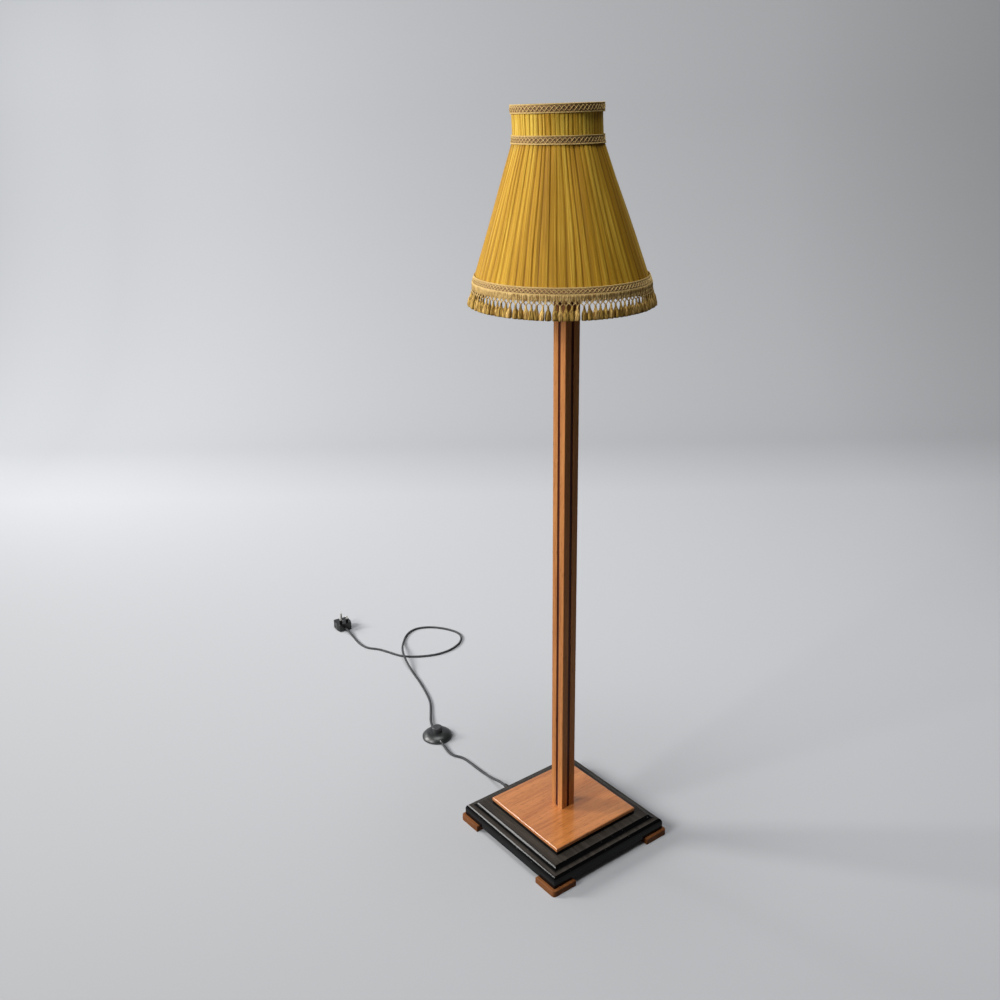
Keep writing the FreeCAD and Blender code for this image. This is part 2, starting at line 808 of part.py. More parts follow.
def tassel():
    """One tassel, hanging down from z = 0: neck cord, then a bell of threads."""
    drop = (rim_bottom - heading_height - fringe_low) / math.cos(math.radians(tassel_flare))
    bell = tassel_neck_length
    outline = [(0, 0), (tassel_neck, 0), (tassel_neck, -bell), (2.4, -bell - 1.5),
               (tassel_radius * 0.82, -bell - 7), (tassel_radius, -drop + 3),
               (tassel_radius * 0.9, -drop + 0.4), (0, -drop)]
    return turned(outline)


def fringe_tassels():
    level = rim_bottom - heading_height - gap
    radius = bottom_radius + gap + braid_thickness - heading_thickness / 2
    one = tassel()
    one.rotate(V(0, 0, 0), Y, -tassel_flare)
    tassels = []
    for k in range(tassel_count):
        angle = 360 / tassel_count * k
        tassels.append(moved(one, ring_point(level, radius, angle), angle))
    return Part.makeCompound(tassels)


# ---------------------------------------------------------------- flex

def route(points):
    """Straight runs joined by tangent arcs, as large as the runs allow, and the arcs' radii."""
    edges = []
    radii = []
    here = points[0]
    for before, corner, after in zip(points, points[1:], points[2:]):
        way_in = (corner - before).normalize()
        way_out = (after - corner).normalize()
        half_turn = way_in.getAngle(way_out) / 2
        reach = 0.45 * min((corner - before).Length, (after - corner).Length)
        radius = reach / math.tan(half_turn)
        radii.append(radius)
        start = corner - way_in * reach
        end = corner + way_out * reach
        inward = (way_out - way_in).normalize()
        middle = corner + inward * (radius / math.cos(half_turn) - radius)
        edges.append(Part.LineSegment(here, start).toShape())
        edges.append(Part.Arc(start, middle, end).toShape())
        here = end
    edges.append(Part.LineSegment(here, points[-1]).toShape())
    return Part.Wire(edges), radii


def flex(name, points):
    """Round cord along its route."""
    points = [V(*p) for p in points]
    path, radii = route(points)
    section = Part.Wire(Part.makeCircle(flex_diameter / 2, points[0], points[1] - points[0]))
    body = path.makePipeShell([section], True, False)
    filled = body.Volume / (math.pi * flex_diameter ** 2 / 4 * path.Length)
    print(f"{name}: length {path.Length:.0f}, volume ratio {filled:.4f}, radii {[round(r) for r in radii]}")
    return body


floor_z = flex_diameter / 2
hump_z = floor_z + 13.5


def inside_route():
    """From the outlet through the wiring well and up the tube to the lampholder."""
    start = (-plinth_span / 2 + sleeve_depth, outlet_y, outlet_z)
    turn = (-40, outlet_y, outlet_z)
    return [start, turn, (0, 0, outlet_z), (0, 0, core_foot)]


def switch_route():
    """From the outlet across the floor to the foot switch."""
    way = heading_vector(switch_heading)
    port = V(switch_x, switch_y, switch_port_height) + way * (switch_port_reach - switch_port_depth)
    near = port + way * 30
    start = V(-plinth_span / 2 + sleeve_depth, outlet_y, outlet_z)
    bend = start - X * (sleeve_depth + sleeve_reach + 17)
    return [start, bend, (-238, -25.5, 11.5), (-268, -23, floor_z + 0.4), (-305, -25, floor_z),
            (-343, -25, floor_z), (-379, -27, floor_z), (-402, -45, floor_z + 1), near, port]


def plug_route():
    """From the plug along the floor, once round in a loop over itself, to the foot switch."""
    switch_way = heading_vector(switch_heading)
    port = V(switch_x, switch_y, switch_port_height) - switch_way * (switch_port_reach - switch_port_depth)
    near = port - switch_way * 24
    plug_way = heading_vector(plug_heading)
    start = V(plug_x, plug_y, plug_port_height) + plug_way * (plug_front - plug_wall - pilot_gap)
    second = start + plug_way * 24
    return [start, second, (-1152, 85, floor_z + 0.3), (-1102, 77, floor_z),
            (-1058, 80, floor_z), (-1030, 106, floor_z), (-985, 123, floor_z), (-940, 139, floor_z),
            (-903, 185, floor_z), (-880, 235, floor_z), (-879, 290, floor_z), (-903, 343, floor_z),
            (-948, 372, floor_z), (-1002, 357, floor_z), (-1050, 322, floor_z), (-1073, 277, floor_z),
            (-1058, 232, floor_z), (-1014, 190, floor_z), (-958, 151, hump_z), (-893, 123, hump_z),
            (-835, 112, floor_z), (-775, 98, floor_z), (-715, 80, floor_z), (-660, 60, floor_z),
            (-613, 29, floor_z + 0.5), near, port]


# ---------------------------------------------------------------- foot switch

switch_centre = V(switch_x, switch_y, 0)


def dome_outline(inset, foot_z):
    """Half outline of the domed cover, set in by a wall."""
    edge = switch_radius - inset
    bore = button_radius + button_gap
    start = V(edge, 0, switch_edge - inset * 0.4)
    end = V(bore, 0, switch_crown - inset)
    middle = V(switch_radius * 0.82 - inset * 0.7, 0, switch_crown * 0.74 - inset)
    foot_point = V(edge - (1.5 if inset == 0 else 0), 0, foot_z)
    rise = V(edge, 0, foot_z + 1.5)
    edges = []
    if inset == 0:
        edges = [Part.LineSegment(foot_point, rise).toShape(), Part.LineSegment(rise, start).toShape()]
    else:
        edges = [Part.LineSegment(foot_point, start).toShape()]
    edges += [Part.Arc(start, middle, end).toShape(), Part.LineSegment(end, V(bore, 0, foot_z)).toShape(),
              Part.LineSegment(V(bore, 0, foot_z), foot_point).toShape()]
    return Part.Face(Part.Wire(edges)).revolve(V(0, 0, 0), Z, 360)


def switch_cover():
    """Domed cover with two short necks for the cord."""
    body = dome_outline(0, 0).cut(dome_outline(switch_wall, 0))
    necks = []
    for side in (-1, 1):
        start = V(side * (switch_radius - 5), 0, switch_port_height)
        end = V(side * switch_port_reach, 0, switch_port_height)
        necks.append(Part.makeCone(switch_port_radius + 1, switch_port_radius - 0.7, (end - start).Length,
                                   start, end - start))
    for neck in necks:
        body = body.fuse(neck.cut(dome_outline(switch_wall, 0)))
    for side in (-1, 1):
        end = V(side * switch_port_reach, 0, switch_port_height)
        body = body.cut(rod(end - X * (side * switch_port_depth), end + X * side, flex_diameter / 2 + gap))
    for place in switch_screw_places():
        body = body.cut(disc(1.7, -1, 10, place))
    return moved(body, switch_centre, switch_heading)


def switch_screw_places():
    return [V(0, side * (switch_radius - switch_wall - 9), 0) for side in (-1, 1)]


def switch_base():
    """Plate that closes the cover below, with a ring that guides the return spring."""
    radius = switch_radius - switch_wall - pilot_gap
    body = disc(radius, 0, 3).fuse(disc(7, 3, 4.5)).cut(disc(5.4, 3, 5))
    for place in switch_screw_places():
        body = body.fuse(disc(4.5, 3, 9, place))
        body = body.cut(moved(screw_hole(9, 1.5), place))
    return moved(body, switch_centre, switch_heading)


def switch_screws():
    screws_here = [moved(wood_screw(8.5, 1.5), place) for place in switch_screw_places()]
    return moved(Part.makeCompound(screws_here), switch_centre, switch_heading)


def switch_button():
    """Push button with a flange that keeps it in the cover."""
    low = switch_crown - switch_wall - 0.4 - button_flange
    outline = [(0, low), (button_radius + 2, low), (button_radius + 2, low + button_flange),
               (button_radius, low + button_flange), (button_radius, button_top - 1.6),
               (button_radius - 1.6, button_top - 0.3), (button_radius - 4, button_top), (0, button_top)]
    return turned(outline, switch_centre)


def bridge_level():
    return switch_crown - switch_wall - 0.4 - button_flange


def switch_bridge():
    """Brass contact bar under the button."""
    high = bridge_level()
    bar = block(30, 4, high - 1, high).cut(disc(5.6, high - 1, high))
    ring = disc(7.2, high - 1, high).cut(disc(5.6, high - 1, high))
    return moved(bar.fuse(ring), switch_centre, switch_heading)


def switch_terminals():
    """Two brass blocks on the base that the bar bridges."""
    high = bridge_level() - 1 - button_travel - 0.1
    blocks = [block(6, 7, 3, high, V(side * 13, 0, 0)) for side in (-1, 1)]
    return moved(Part.makeCompound(blocks), switch_centre, switch_heading)


def switch_spring():
    """Return spring between the base and the button."""
    return disc(5.0, 3, bridge_level(), switch_centre).cut(disc(4.0, 3, bridge_level(), switch_centre))


# ---------------------------------------------------------------- plug

def plug_outline(inset, low, high):
    """Plan of the plug: square with round corners, narrower towards the cord."""
    half = plug_width / 2 - inset
    back = -plug_back + inset
    front = plug_front - inset
    taper = half - 4
    points = [V(back, -half, low), V(front - 16, -half, low), V(front, -taper, low), V(front, taper, low),
              V(front - 16, half, low), V(back, half, low)]
    body = Part.Face(polygon(points)).extrude(V(0, 0, high - low))
    rounds = upright_edges(body, lambda m: abs(m.x - back) < 1e-6)
    body = body.makeFillet(plug_corner - inset, rounds)
    return body.makeFillet(3.0, upright_edges(body, lambda m: m.x > front - 1e-6))


def at_plug(shape):
    return moved(shape, V(plug_x, plug_y, plug_thickness), plug_heading)


def pin_place(name):
    return {"line": V(0, pin_spread / 2, 0), "neutral": V(0, -pin_spread / 2, 0),
            "earth": V(-pin_spread, 0, 0)}[name]


def pin(size, place):
    body = block(size[0], size[1], -pin_root, size[2], place)
    tip = [edge for edge in level_edges(body, size[2])]
    return body.makeChamfer(0.8, tip)


def plug_base():
    """Half that holds the pins; its face is the one that meets the socket."""
    body = plug_outline(0, -plug_split, 0)
    body = body.makeFillet(1.6, level_edges(body, 0))
    cavity = plug_outline(plug_wall, -plug_split - 1, -3.2)
    body = body.cut(cavity)
    for name in ("line", "neutral"):
        size = line_pin_size
        body = body.cut(block(size[0] + 0.1, size[1] + 0.1, -4, 1, pin_place(name)))
    size = earth_pin_size
    body = body.cut(block(size[0] + 0.1, size[1] + 0.1, -4, 1, pin_place("earth")))
    body = body.cut(moved(flipped(screw_hole(20, 1.6)), plug_screw_place()))
    return at_plug(body)


def plug_screw_place():
    return V(-pin_spread * 0.42, 0, 0)


def plug_cover():
    """Back half, with grooves for the fingers on its sides and a hole for the cord."""
    body = plug_outline(0, -plug_thickness, -plug_split - gap)
    body = body.makeFillet(3.0, level_edges(body, -plug_thickness))
    body = body.cut(plug_outline(plug_wall, -plug_thickness + plug_wall, -plug_split + 1))
    post = disc(3.6, -plug_thickness + 1, -plug_split - gap, plug_screw_place())
    body = body.fuse(post)
    port = V(0, 0, plug_port_height - plug_thickness)
    body = body.cut(rod(port, port + X * (plug_front + 1), flex_diameter / 2 + gap))
    for side in (-1, 1):
        for k in range(5):
            groove = disc(0.8, -plug_thickness + 4, -plug_split, V(-28 + k * 4, side * plug_width / 2, 0))
            body = body.cut(groove)
    body = body.cut(moved(flipped(screw_hole(20, 1.6)), plug_screw_place()))
    return at_plug(body)


def line_pins():
    return at_plug(Part.makeCompound([pin(line_pin_size, pin_place(name)) for name in ("line", "neutral")]))


def pin_sleeves():
    """Insulating sleeves on the root half of the line and neutral pins."""
    size = line_pin_size
    sleeves = []
    for name in ("line", "neutral"):
        outer = block(size[0] + 2 * sleeve_thickness, size[1] + 2 * sleeve_thickness, 0, sleeve_height,
                      pin_place(name))
        inner = block(size[0], size[1], 0, sleeve_height, pin_place(name))
        sleeves.append(outer.cut(inner))
    return at_plug(Part.makeCompound(sleeves))


def earth_pin():
    return at_plug(pin(earth_pin_size, pin_place("earth")))


def plug_fuse():
    """Cartridge fuse, clipped to the line pin's inner end."""
    level = -pin_root - fuse_radius
    place = pin_place("line") + V(2.0, 0, level)
    start = place
    end = place - V(fuse_length, 0, 0)
    return at_plug(rod(start, end, fuse_radius))


def plug_screw():
    screw = flipped(wood_screw(18, 1.6))
    return at_plug(moved(screw, plug_screw_place()))


def cord_clamp():
    """Fibre bar that grips the cord just inside the plug."""
    front = plug_front - plug_wall
    level = plug_port_height - plug_thickness
    bar = block(6, 16, level - 4, level + 4, V(front - 3 - pilot_gap, 0, 0))
    return at_plug(bar.common(plug_outline(plug_wall + pilot_gap, -plug_thickness + plug_wall, -4)))


# ---------------------------------------------------------------- write every piece

def build():
    os.makedirs("parts", exist_ok=True)
    for name, (sx, sy) in corners.items():
        save(f"foot_{name}", foot(sx, sy))
    save("foot_screws", screws(foot_screw_length, foot_screw_radius, foot_screw_places()))
    save("base_plinth", plinth())
    save("base_panel", panel())
    save("panel_screws", screws(panel_screw_length, panel_screw_radius, panel_screw_places()))
    save("well_cover", well_cover())
    save("well_cover_screws", screws(cover_screw_length, cover_screw_radius, cover_screw_places()))
    save("flex_outlet_sleeve", outlet_sleeve())

    save("column_half_left", column_half(-1))
    save("column_half_right", column_half(1))
    save("column_inlays", inlays())
    save("tie_tube", disc(tube_radius, tube_low, tube_high).cut(disc(tube_bore, tube_low, tube_high)))
    washer_low = plinth_top - washer_thickness
    save("tie_washer", tube_ring(bottom_washer_radius, washer_low, plinth_top))
    save("tie_nut_bottom", hexagon(nut_flats, washer_low - nut_height, washer_low, tube_radius + thread_gap))
    save("tie_nut_top", hexagon(nut_flats, top_nut_foot, holder_foot, tube_radius + thread_gap))
    save("column_top_plate", top_plate())
    top_screws = [moved(flipped(wood_screw(plate_screw_length, plate_screw_radius)), place)
                  for place in plate_screw_places()]
    save("top_plate_screws", Part.makeCompound(top_screws))

    save("lampholder_cap", holder_cap())
    save("lampholder_insulator", insulator())
    save("lampholder_plungers", plungers())
    save("plunger_springs", plunger_springs())
    save("lampholder_shell", holder_shell())
    save("shade_ring", shade_ring())
    save("bulb_cap", bulb_cap())
    save("bulb_glass", bulb_glass())
    save("bulb_mount", bulb_mount())

    save("shade_carrier", shade_carrier())
    save("gimbal_ring", gimbal_ring())
    save("gimbal_pivots", gimbal_pivots())
    save("gimbal_arms", gimbal_arms())
    save("shade_frame", shade_frame())
    lining_levels = (rim_bottom, collar_level - 5)
    save("shade_lining", skin(lining_levels, lambda z: crest_radius(z) - lining_inset, lining_thickness))
    save("shade_cover", pleated(rim_bottom + 1, collar_level - gap, pleat_depth, pleat_depth))
    save("shade_collar", pleated(collar_level + gap, rim_top - 0.5, pleat_depth, pleat_depth * 0.7))
    save("braid_top", braid((rim_top - top_braid_width, rim_top)))
    save("braid_collar", braid((collar_level - collar_braid_below, collar_level,
                                collar_level + collar_braid_above)))
    save("braid_bottom", braid((rim_bottom, rim_bottom + bottom_braid_width)))
    save("fringe_heading", fringe_heading())
    save("fringe_tassels", fringe_tassels())

    save("flex_inside", flex("flex_inside", inside_route()))
    save("flex_to_switch", flex("flex_to_switch", switch_route()))
    save("flex_to_plug", flex("flex_to_plug", plug_route()))

    save("switch_base", switch_base())
    save("switch_cover", switch_cover())
    save("switch_button", switch_button())
    save("switch_bridge", switch_bridge())
    save("switch_terminals", switch_terminals())
    save("switch_spring", switch_spring())
    save("switch_screws", switch_screws())

    save("plug_base", plug_base())
    save("plug_cover", plug_cover())
    save("plug_line_pins", line_pins())
    save("plug_pin_sleeves", pin_sleeves())
    save("plug_earth_pin", earth_pin())
    save("plug_fuse", plug_fuse())
    save("plug_cover_screw", plug_screw())
    save("plug_cord_clamp", cord_clamp())


build()
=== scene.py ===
import bpy
import math
from mathutils import Matrix, Vector


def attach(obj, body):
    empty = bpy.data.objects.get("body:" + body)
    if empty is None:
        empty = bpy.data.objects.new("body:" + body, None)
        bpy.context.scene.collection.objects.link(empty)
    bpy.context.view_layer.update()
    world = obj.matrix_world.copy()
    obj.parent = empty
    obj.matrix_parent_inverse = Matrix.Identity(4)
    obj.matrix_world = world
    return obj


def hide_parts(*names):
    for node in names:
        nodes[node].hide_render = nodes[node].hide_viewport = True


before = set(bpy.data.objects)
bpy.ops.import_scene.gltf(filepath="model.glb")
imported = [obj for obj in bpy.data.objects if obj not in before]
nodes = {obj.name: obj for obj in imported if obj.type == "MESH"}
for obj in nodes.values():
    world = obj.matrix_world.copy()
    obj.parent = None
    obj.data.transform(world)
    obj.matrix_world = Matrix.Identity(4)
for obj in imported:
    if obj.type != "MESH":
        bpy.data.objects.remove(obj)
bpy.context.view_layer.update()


# ---- camera ----
# It stands off the base's corner between +X and -Y, level with the rim of the shade, and looks down
# at the lamp. The picture is a little out of level.

camera_place = (1.5743, -1.3624, 1.6331)
camera_heading = math.radians(52.95)
camera_dip = math.radians(20.81)
camera_roll = math.radians(-0.881)
bpy.ops.object.camera_add(location=camera_place)
camera = bpy.context.object
camera_turn = Matrix.Rotation(camera_heading, 3, "Z") @ Matrix.Rotation(math.pi / 2 - camera_dip, 3, "X")
camera.rotation_euler = (camera_turn @ Matrix.Rotation(camera_roll, 3, "Z")).to_euler()
camera.data.sensor_width = 36
camera.data.lens = 37.65
bpy.context.scene.camera = camera
bpy.context.scene.view_settings.view_transform = "Standard"


# ---- floor, backdrop and light ----
# A pale studio floor that sweeps up into its backdrop behind the lamp. Two soft lamps on the
# picture's left light the lamp, one overhead lights the floor, and one brightens the backdrop.

floor_colour = (0.82, 0.835, 0.87)
floor_bounce = (0.12, 0.12, 0.125)
sweep_width = 16.0
sweep_depth = 4.6
sweep_length = 10.12
sweep_height = 6.0
sweep_radius = 1.6

# How much of floor_colour shows, from the picture's left to its right and from the front of the floor
# to the backdrop: painted light and shade, as the lamps' falloff would give it. These were set by comparing
# renders with the background of the photo.
painted_light_across = {"From Min": -2.4, "From Max": 1.6, "To Min": 0.62, "To Max": 1.18}
painted_light_depth = {"From Min": -0.5, "From Max": 4.5}
painted_light_away = ((0, 0.63), (0.56, 0.98), (1, 0.79))


def clear_selection():
    for thing in bpy.context.selected_objects:
        thing.select_set(False)


def new_material(name, colour, roughness, metallic=0.0, specular=0.5):
    """A material, its node tree and its own Principled shader."""
    made = bpy.data.materials.new(name)
    made.use_nodes = True
    shader = made.node_tree.nodes["Principled BSDF"]
    shader.inputs["Base Color"].default_value = (*colour, 1)
    shader.inputs["Roughness"].default_value = roughness
    shader.inputs["Metallic"].default_value = metallic
    shader.inputs["Specular IOR Level"].default_value = specular
    return made, made.node_tree, shader


def add_node(tree, kind, inputs, **settings):
    """A node whose inputs are each given a plain value, or joined to another node's output."""
    node = tree.nodes.new("ShaderNode" + kind)
    for setting, value in settings.items():
        setattr(node, setting, value)
    for name, value in inputs.items():
        if isinstance(value, bpy.types.NodeSocket):
            tree.links.new(value, node.inputs[name])
        else:
            node.inputs[name].default_value = value
    return node


def tone_ramp(tree, value, *stops):
    """The colour at a value, between the stops: each is a value and its colour."""
    ramp = add_node(tree, "ValToRGB", {"Fac": value})
    ends = ramp.color_ramp.elements
    for end, (position, colour) in ((ends[0], stops[0]), (ends[1], stops[-1])):
        end.position = position
        end.color = (*colour, 1)
    for position, colour in stops[1:-1]:
        ends.new(position).color = (*colour, 1)
    return ramp.outputs["Color"]


def pick_edges(piece, keep):
    """Selects the edges whose two ends both pass the test, and nothing else."""
    bpy.ops.object.mode_set(mode="EDIT")
    bpy.ops.mesh.select_all(action="DESELECT")
    bpy.ops.object.mode_set(mode="OBJECT")
    for edge in piece.data.edges:
        edge.select = all(keep(piece.data.vertices[i].co) for i in edge.vertices)
    bpy.ops.object.mode_set(mode="EDIT")
    bpy.ops.mesh.select_mode(type="EDGE")


def studio_sweep():
    """One sheet: flat floor, a quarter round, and an upright backdrop, turned to face the camera."""
    clear_selection()
    bpy.ops.mesh.primitive_plane_add(size=1)
    sweep = bpy.context.object
    sweep.name = "studio_sweep"
    for vertex in sweep.data.vertices:
        vertex.co = (vertex.co.x * sweep_width, (vertex.co.y - 0.5) * sweep_length + sweep_depth, 0)
    pick_edges(sweep, lambda p: p.y > sweep_depth - 0.01)
    bpy.ops.mesh.extrude_region_move(TRANSFORM_OT_translate={"value": (0, 0, sweep_height)})
    pick_edges(sweep, lambda p: p.z < 0.01 and p.y > sweep_depth - 0.01)
    bpy.ops.mesh.bevel(offset=sweep_radius, segments=24, affect="EDGES")
    bpy.ops.object.mode_set(mode="OBJECT")
    bpy.ops.object.shade_smooth()
    sweep.data.transform(Matrix.Rotation(camera_heading, 4, "Z"))
    return sweep


def studio_grey():
    """Pale to the eye and in reflections; it throws little light back on the lamp's far side."""
    made, tree, shader = new_material("studio_grey", floor_colour, 0.9, specular=0.1)
    ray = add_node(tree, "LightPath", {}).outputs
    seen = add_node(tree, "Math", {0: ray["Is Camera Ray"], 1: ray["Is Glossy Ray"]}, operation="MAXIMUM")
    through = {0: seen.outputs[0], 1: ray["Is Transmission Ray"]}
    shown = add_node(tree, "Math", through, operation="MAXIMUM")
    # The pale colour is painted lighter and darker across the floor and backdrop, as falling-off light
    # would make it.
    where = add_node(tree, "TexCoord", {}).outputs["Object"]
    turned = add_node(tree, "Mapping", {"Vector": where, "Rotation": (0, 0, -camera_heading)})
    apart = add_node(tree, "SeparateXYZ", {"Vector": turned.outputs["Vector"]}).outputs
    across = add_node(tree, "MapRange", {"Value": apart["X"], **painted_light_across})
    depth = add_node(tree, "MapRange", {"Value": apart["Y"], **painted_light_depth})
    stops = [(place, (share, share, share)) for place, share in painted_light_away]
    away = tone_ramp(tree, depth.outputs["Result"], *stops)
    level = add_node(tree, "Math", {0: across.outputs["Result"], 1: away}, operation="MULTIPLY")
    pale = add_node(tree, "VectorMath", {0: floor_colour, "Scale": level.outputs[0]}, operation="SCALE")
    tone = add_node(tree, "Mix", {
        "Factor": shown.outputs[0], "A": (*floor_bounce, 1), "B": pale.outputs["Vector"]}, data_type="RGBA")
    tree.links.new(tone.outputs["Result"], shader.inputs["Base Color"])
    return made


sweep = studio_sweep()
sweep.data.materials.append(studio_grey())


def soft_lamp(name, place, aim, size, power, colour):
    """Area lamp that points at aim."""
    clear_selection()
    bpy.ops.object.light_add(type="AREA", location=place)
    lamp = bpy.context.object
    lamp.name = name
    lamp.data.shape = "RECTANGLE"
    lamp.data.size = size[0]
    lamp.data.size_y = size[1]
    lamp.data.energy = power
    lamp.data.color = colour
    lamp.rotation_euler = (Vector(aim) - Vector(place)).to_track_quat("-Z", "Y").to_euler()


soft_lamp("strip_lamp", (-3.2, -3.2, 2.5), (0, 0, 0.8), (1.0, 1.6), 155, (1.0, 0.985, 0.96))
soft_lamp("window_lamp", (-0.2, -3.9, 2.8), (0, 0, 0.9), (1.5, 1.8), 108, (1.0, 0.99, 0.97))
soft_lamp("top_lamp", (0.15, -0.2, 4.4), (0, 0, 0), (2.2, 2.2), 82, (0.98, 0.99, 1.0))
soft_lamp("backdrop_lamp", (-3.9, -1.0, 1.9), (-4.2, 2.6, 0.9), (1.6, 1.6), 64, (0.98, 0.99, 1.0))

sky = bpy.data.worlds.new("studio_air")
bpy.context.scene.world = sky
sky.use_nodes = True
sky.node_tree.nodes["Background"].inputs["Color"].default_value = (0.86, 0.85, 0.83, 1)
sky.node_tree.nodes["Background"].inputs["Strength"].default_value = 0.06


# ---- flex from the base to the foot switch ----
# Round twin flex in a matt dark grey sheath, pushed through the rubber sleeve in the plinth's side.
# It drops to the floor and runs to the foot switch.

flex_thickness = 0.0065
flex_colour = (0.045, 0.047, 0.052)


def noise_field(tree, scale, detail=2, roughness=0.5, coords="Object"):
    """Noise over a surface, around 0.5. Its scale is one number, or one for each axis."""
    where = add_node(tree, "TexCoord", {}).outputs[coords]
    if isinstance(scale, tuple):
        where = add_node(tree, "Mapping", {"Vector": where, "Scale": scale}).outputs["Vector"]
        scale = 1
    noise = add_node(tree, "TexNoise", {
        "Vector": where, "Scale": scale, "Detail": detail, "Roughness": roughness})
    return noise.outputs["Fac"]


def add_relief(tree, shader, height, strength, distance):
    """Lets a height from 0 to 1 raise the surface; distance is what 1 stands for, in metres."""
    relief = add_node(tree, "Bump", {"Height": height, "Strength": strength, "Distance": distance})
    tree.links.new(relief.outputs["Normal"], shader.inputs["Normal"])


def flex_sheath():
    made, tree, shader = new_material("flex_sheath", flex_colour, 0.55)
    handling = noise_field(tree, 26, 4)
    tones = tone_ramp(tree, handling, (0.3, (0.032, 0.033, 0.037)), (0.75, (0.062, 0.064, 0.07)))
    tree.links.new(tones, shader.inputs["Base Color"])
    add_relief(tree, shader, noise_field(tree, 900), 0.25, 0.0003)
    return made


def flex_line(name, route):
    """Smooth round cord with the route's points as its control points."""
    line = bpy.data.curves.new(name, "CURVE")
    line.dimensions = "3D"
    line.bevel_depth = flex_thickness / 2
    line.bevel_resolution = 5
    line.resolution_u = 12
    line.use_fill_caps = True
    spline = line.splines.new("NURBS")
    spline.points.add(len(route) - 1)
    for point, place in zip(spline.points, route):
        point.co = (*place, 1)
    spline.order_u = 3
    spline.use_endpoint_u = True
    cord = bpy.data.objects.new(name, line)
    bpy.context.scene.collection.objects.link(cord)
    cord.data.materials.append(sheath)
    return cord


sheath = flex_sheath()
switch_route = [
    (-0.1550, -0.0290, 0.0232), (-0.2060, -0.0290, 0.0232), (-0.2380, -0.0255, 0.0115),
    (-0.2680, -0.0230, 0.00365), (-0.3050, -0.0250, 0.00325), (-0.3430, -0.0250, 0.00325),
    (-0.3790, -0.0270, 0.00325), (-0.4020, -0.0450, 0.00425), (-0.4379, -0.0414, 0.0065),
    (-0.4666, -0.0329, 0.0065)]
flex_to_switch = flex_line("flex_base_to_switch", switch_route)
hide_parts("flex_to_switch")
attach(flex_to_switch, "stand")


# ---- flex from the foot switch to the plug ----
# The rest of the same flex. It runs over the floor, makes one loop over itself, and ends in the plug.

plug_route = [
    (-0.5434, -0.0101, 0.0065), (-0.5664, -0.0033, 0.0065), (-0.6130, 0.0290, 0.00375),
    (-0.6600, 0.0600, 0.00325), (-0.7150, 0.0800, 0.00325), (-0.7750, 0.0980, 0.00325),
    (-0.8350, 0.1120, 0.00325), (-0.8930, 0.1230, 0.01675), (-0.9580, 0.1510, 0.01675),
    (-1.0140, 0.1900, 0.00325), (-1.0580, 0.2320, 0.00325), (-1.0730, 0.2770, 0.00325),
    (-1.0500, 0.3220, 0.00325), (-1.0020, 0.3570, 0.00325), (-0.9480, 0.3720, 0.00325),
    (-0.9030, 0.3430, 0.00325), (-0.8790, 0.2900, 0.00325), (-0.8800, 0.2350, 0.00325),
    (-0.9030, 0.1850, 0.00325), (-0.9400, 0.1390, 0.00325), (-0.9850, 0.1230, 0.00325),
    (-1.0300, 0.1060, 0.00325), (-1.0580, 0.0800, 0.00325), (-1.1020, 0.0770, 0.00325),
    (-1.1520, 0.0850, 0.00355), (-1.1865, 0.0872, 0.0098), (-1.2104, 0.0897, 0.0098)]
flex_to_plug = flex_line("flex_switch_to_plug", plug_route)
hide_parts("flex_to_plug")
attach(flex_to_plug, "stand")


# ---- shade lining ----
# Plain cream cloth stretched inside the wire frame and sewn over its lower ring.
# The shade is round at every level, but its rings stand a little to one side of each other.

rim_top = 1.6305
collar_level = 1.566
rim_bottom = 1.304
fringe_low = 1.258
top_radius = 0.0876
collar_radius = 0.087
bottom_radius = 0.176
lean_way = Vector((math.cos(math.radians(233)), math.sin(math.radians(233)), 0))
lean_at_fringe = 0.009
lean_at_top = 0.0215
top_slope = math.tan(math.radians(1.0))
lining_inset = 0.0066
lining_colour = (0.60, 0.47, 0.24)


def shade_centre(level):
    share = (level - fringe_low) / (rim_top - fringe_low)
    return lean_way * (lean_at_fringe + (lean_at_top - lean_at_fringe) * share) + Vector((0, 0, level))


def shade_point(level, radius, angle):
    """Point round the shade; the levels above the collar slope down more and more to the lean's side."""
    out = Vector((math.cos(angle), math.sin(angle), 0))
    slope = top_slope * max(0.0, (level - collar_level) / (rim_top - collar_level))
    return shade_centre(level) + out * radius - Vector((0, 0, radius * out.dot(lean_way) * slope))


def crest_radius(level):
    if level > collar_level:
        share = (level - collar_level) / (rim_top - collar_level)
        return collar_radius + (top_radius - collar_radius) * share
    share = (collar_level - level) / (collar_level - rim_bottom)
    return collar_radius + (bottom_radius - collar_radius) * share


def rolled_cloth(name, columns, rows, place, tone=None):
    """A flat cloth, rolled up into a ring: place gives each point from its shares across and up, and
    tone how light the cloth is painted there, painted shade in the silk's creases included."""
    clear_selection()
    bpy.ops.mesh.primitive_grid_add(x_subdivisions=columns, y_subdivisions=rows, size=1, calc_uvs=True)
    cloth = bpy.context.object
    cloth.name = name
    tones = cloth.data.attributes.new("tone", "FLOAT", "POINT")
    for vertex in cloth.data.vertices:
        across, up = vertex.co.x + 0.5, vertex.co.y + 0.5
        tones.data[vertex.index].value = tone(across, up) if tone else 0.5
        vertex.co = place(across, up)
    bpy.ops.object.mode_set(mode="EDIT")
    bpy.ops.mesh.select_all(action="SELECT")
    bpy.ops.mesh.remove_doubles(threshold=0.00002)
    bpy.ops.object.mode_set(mode="OBJECT")
    bpy.ops.object.shade_smooth()
    return cloth


def thicken(piece, thickness, offset=-1.0):
    bpy.context.view_layer.objects.active = piece
    wall = piece.modifiers.new("wall", "SOLIDIFY")
    wall.thickness = thickness
    wall.offset = offset
    bpy.ops.object.modifier_apply(modifier="wall")


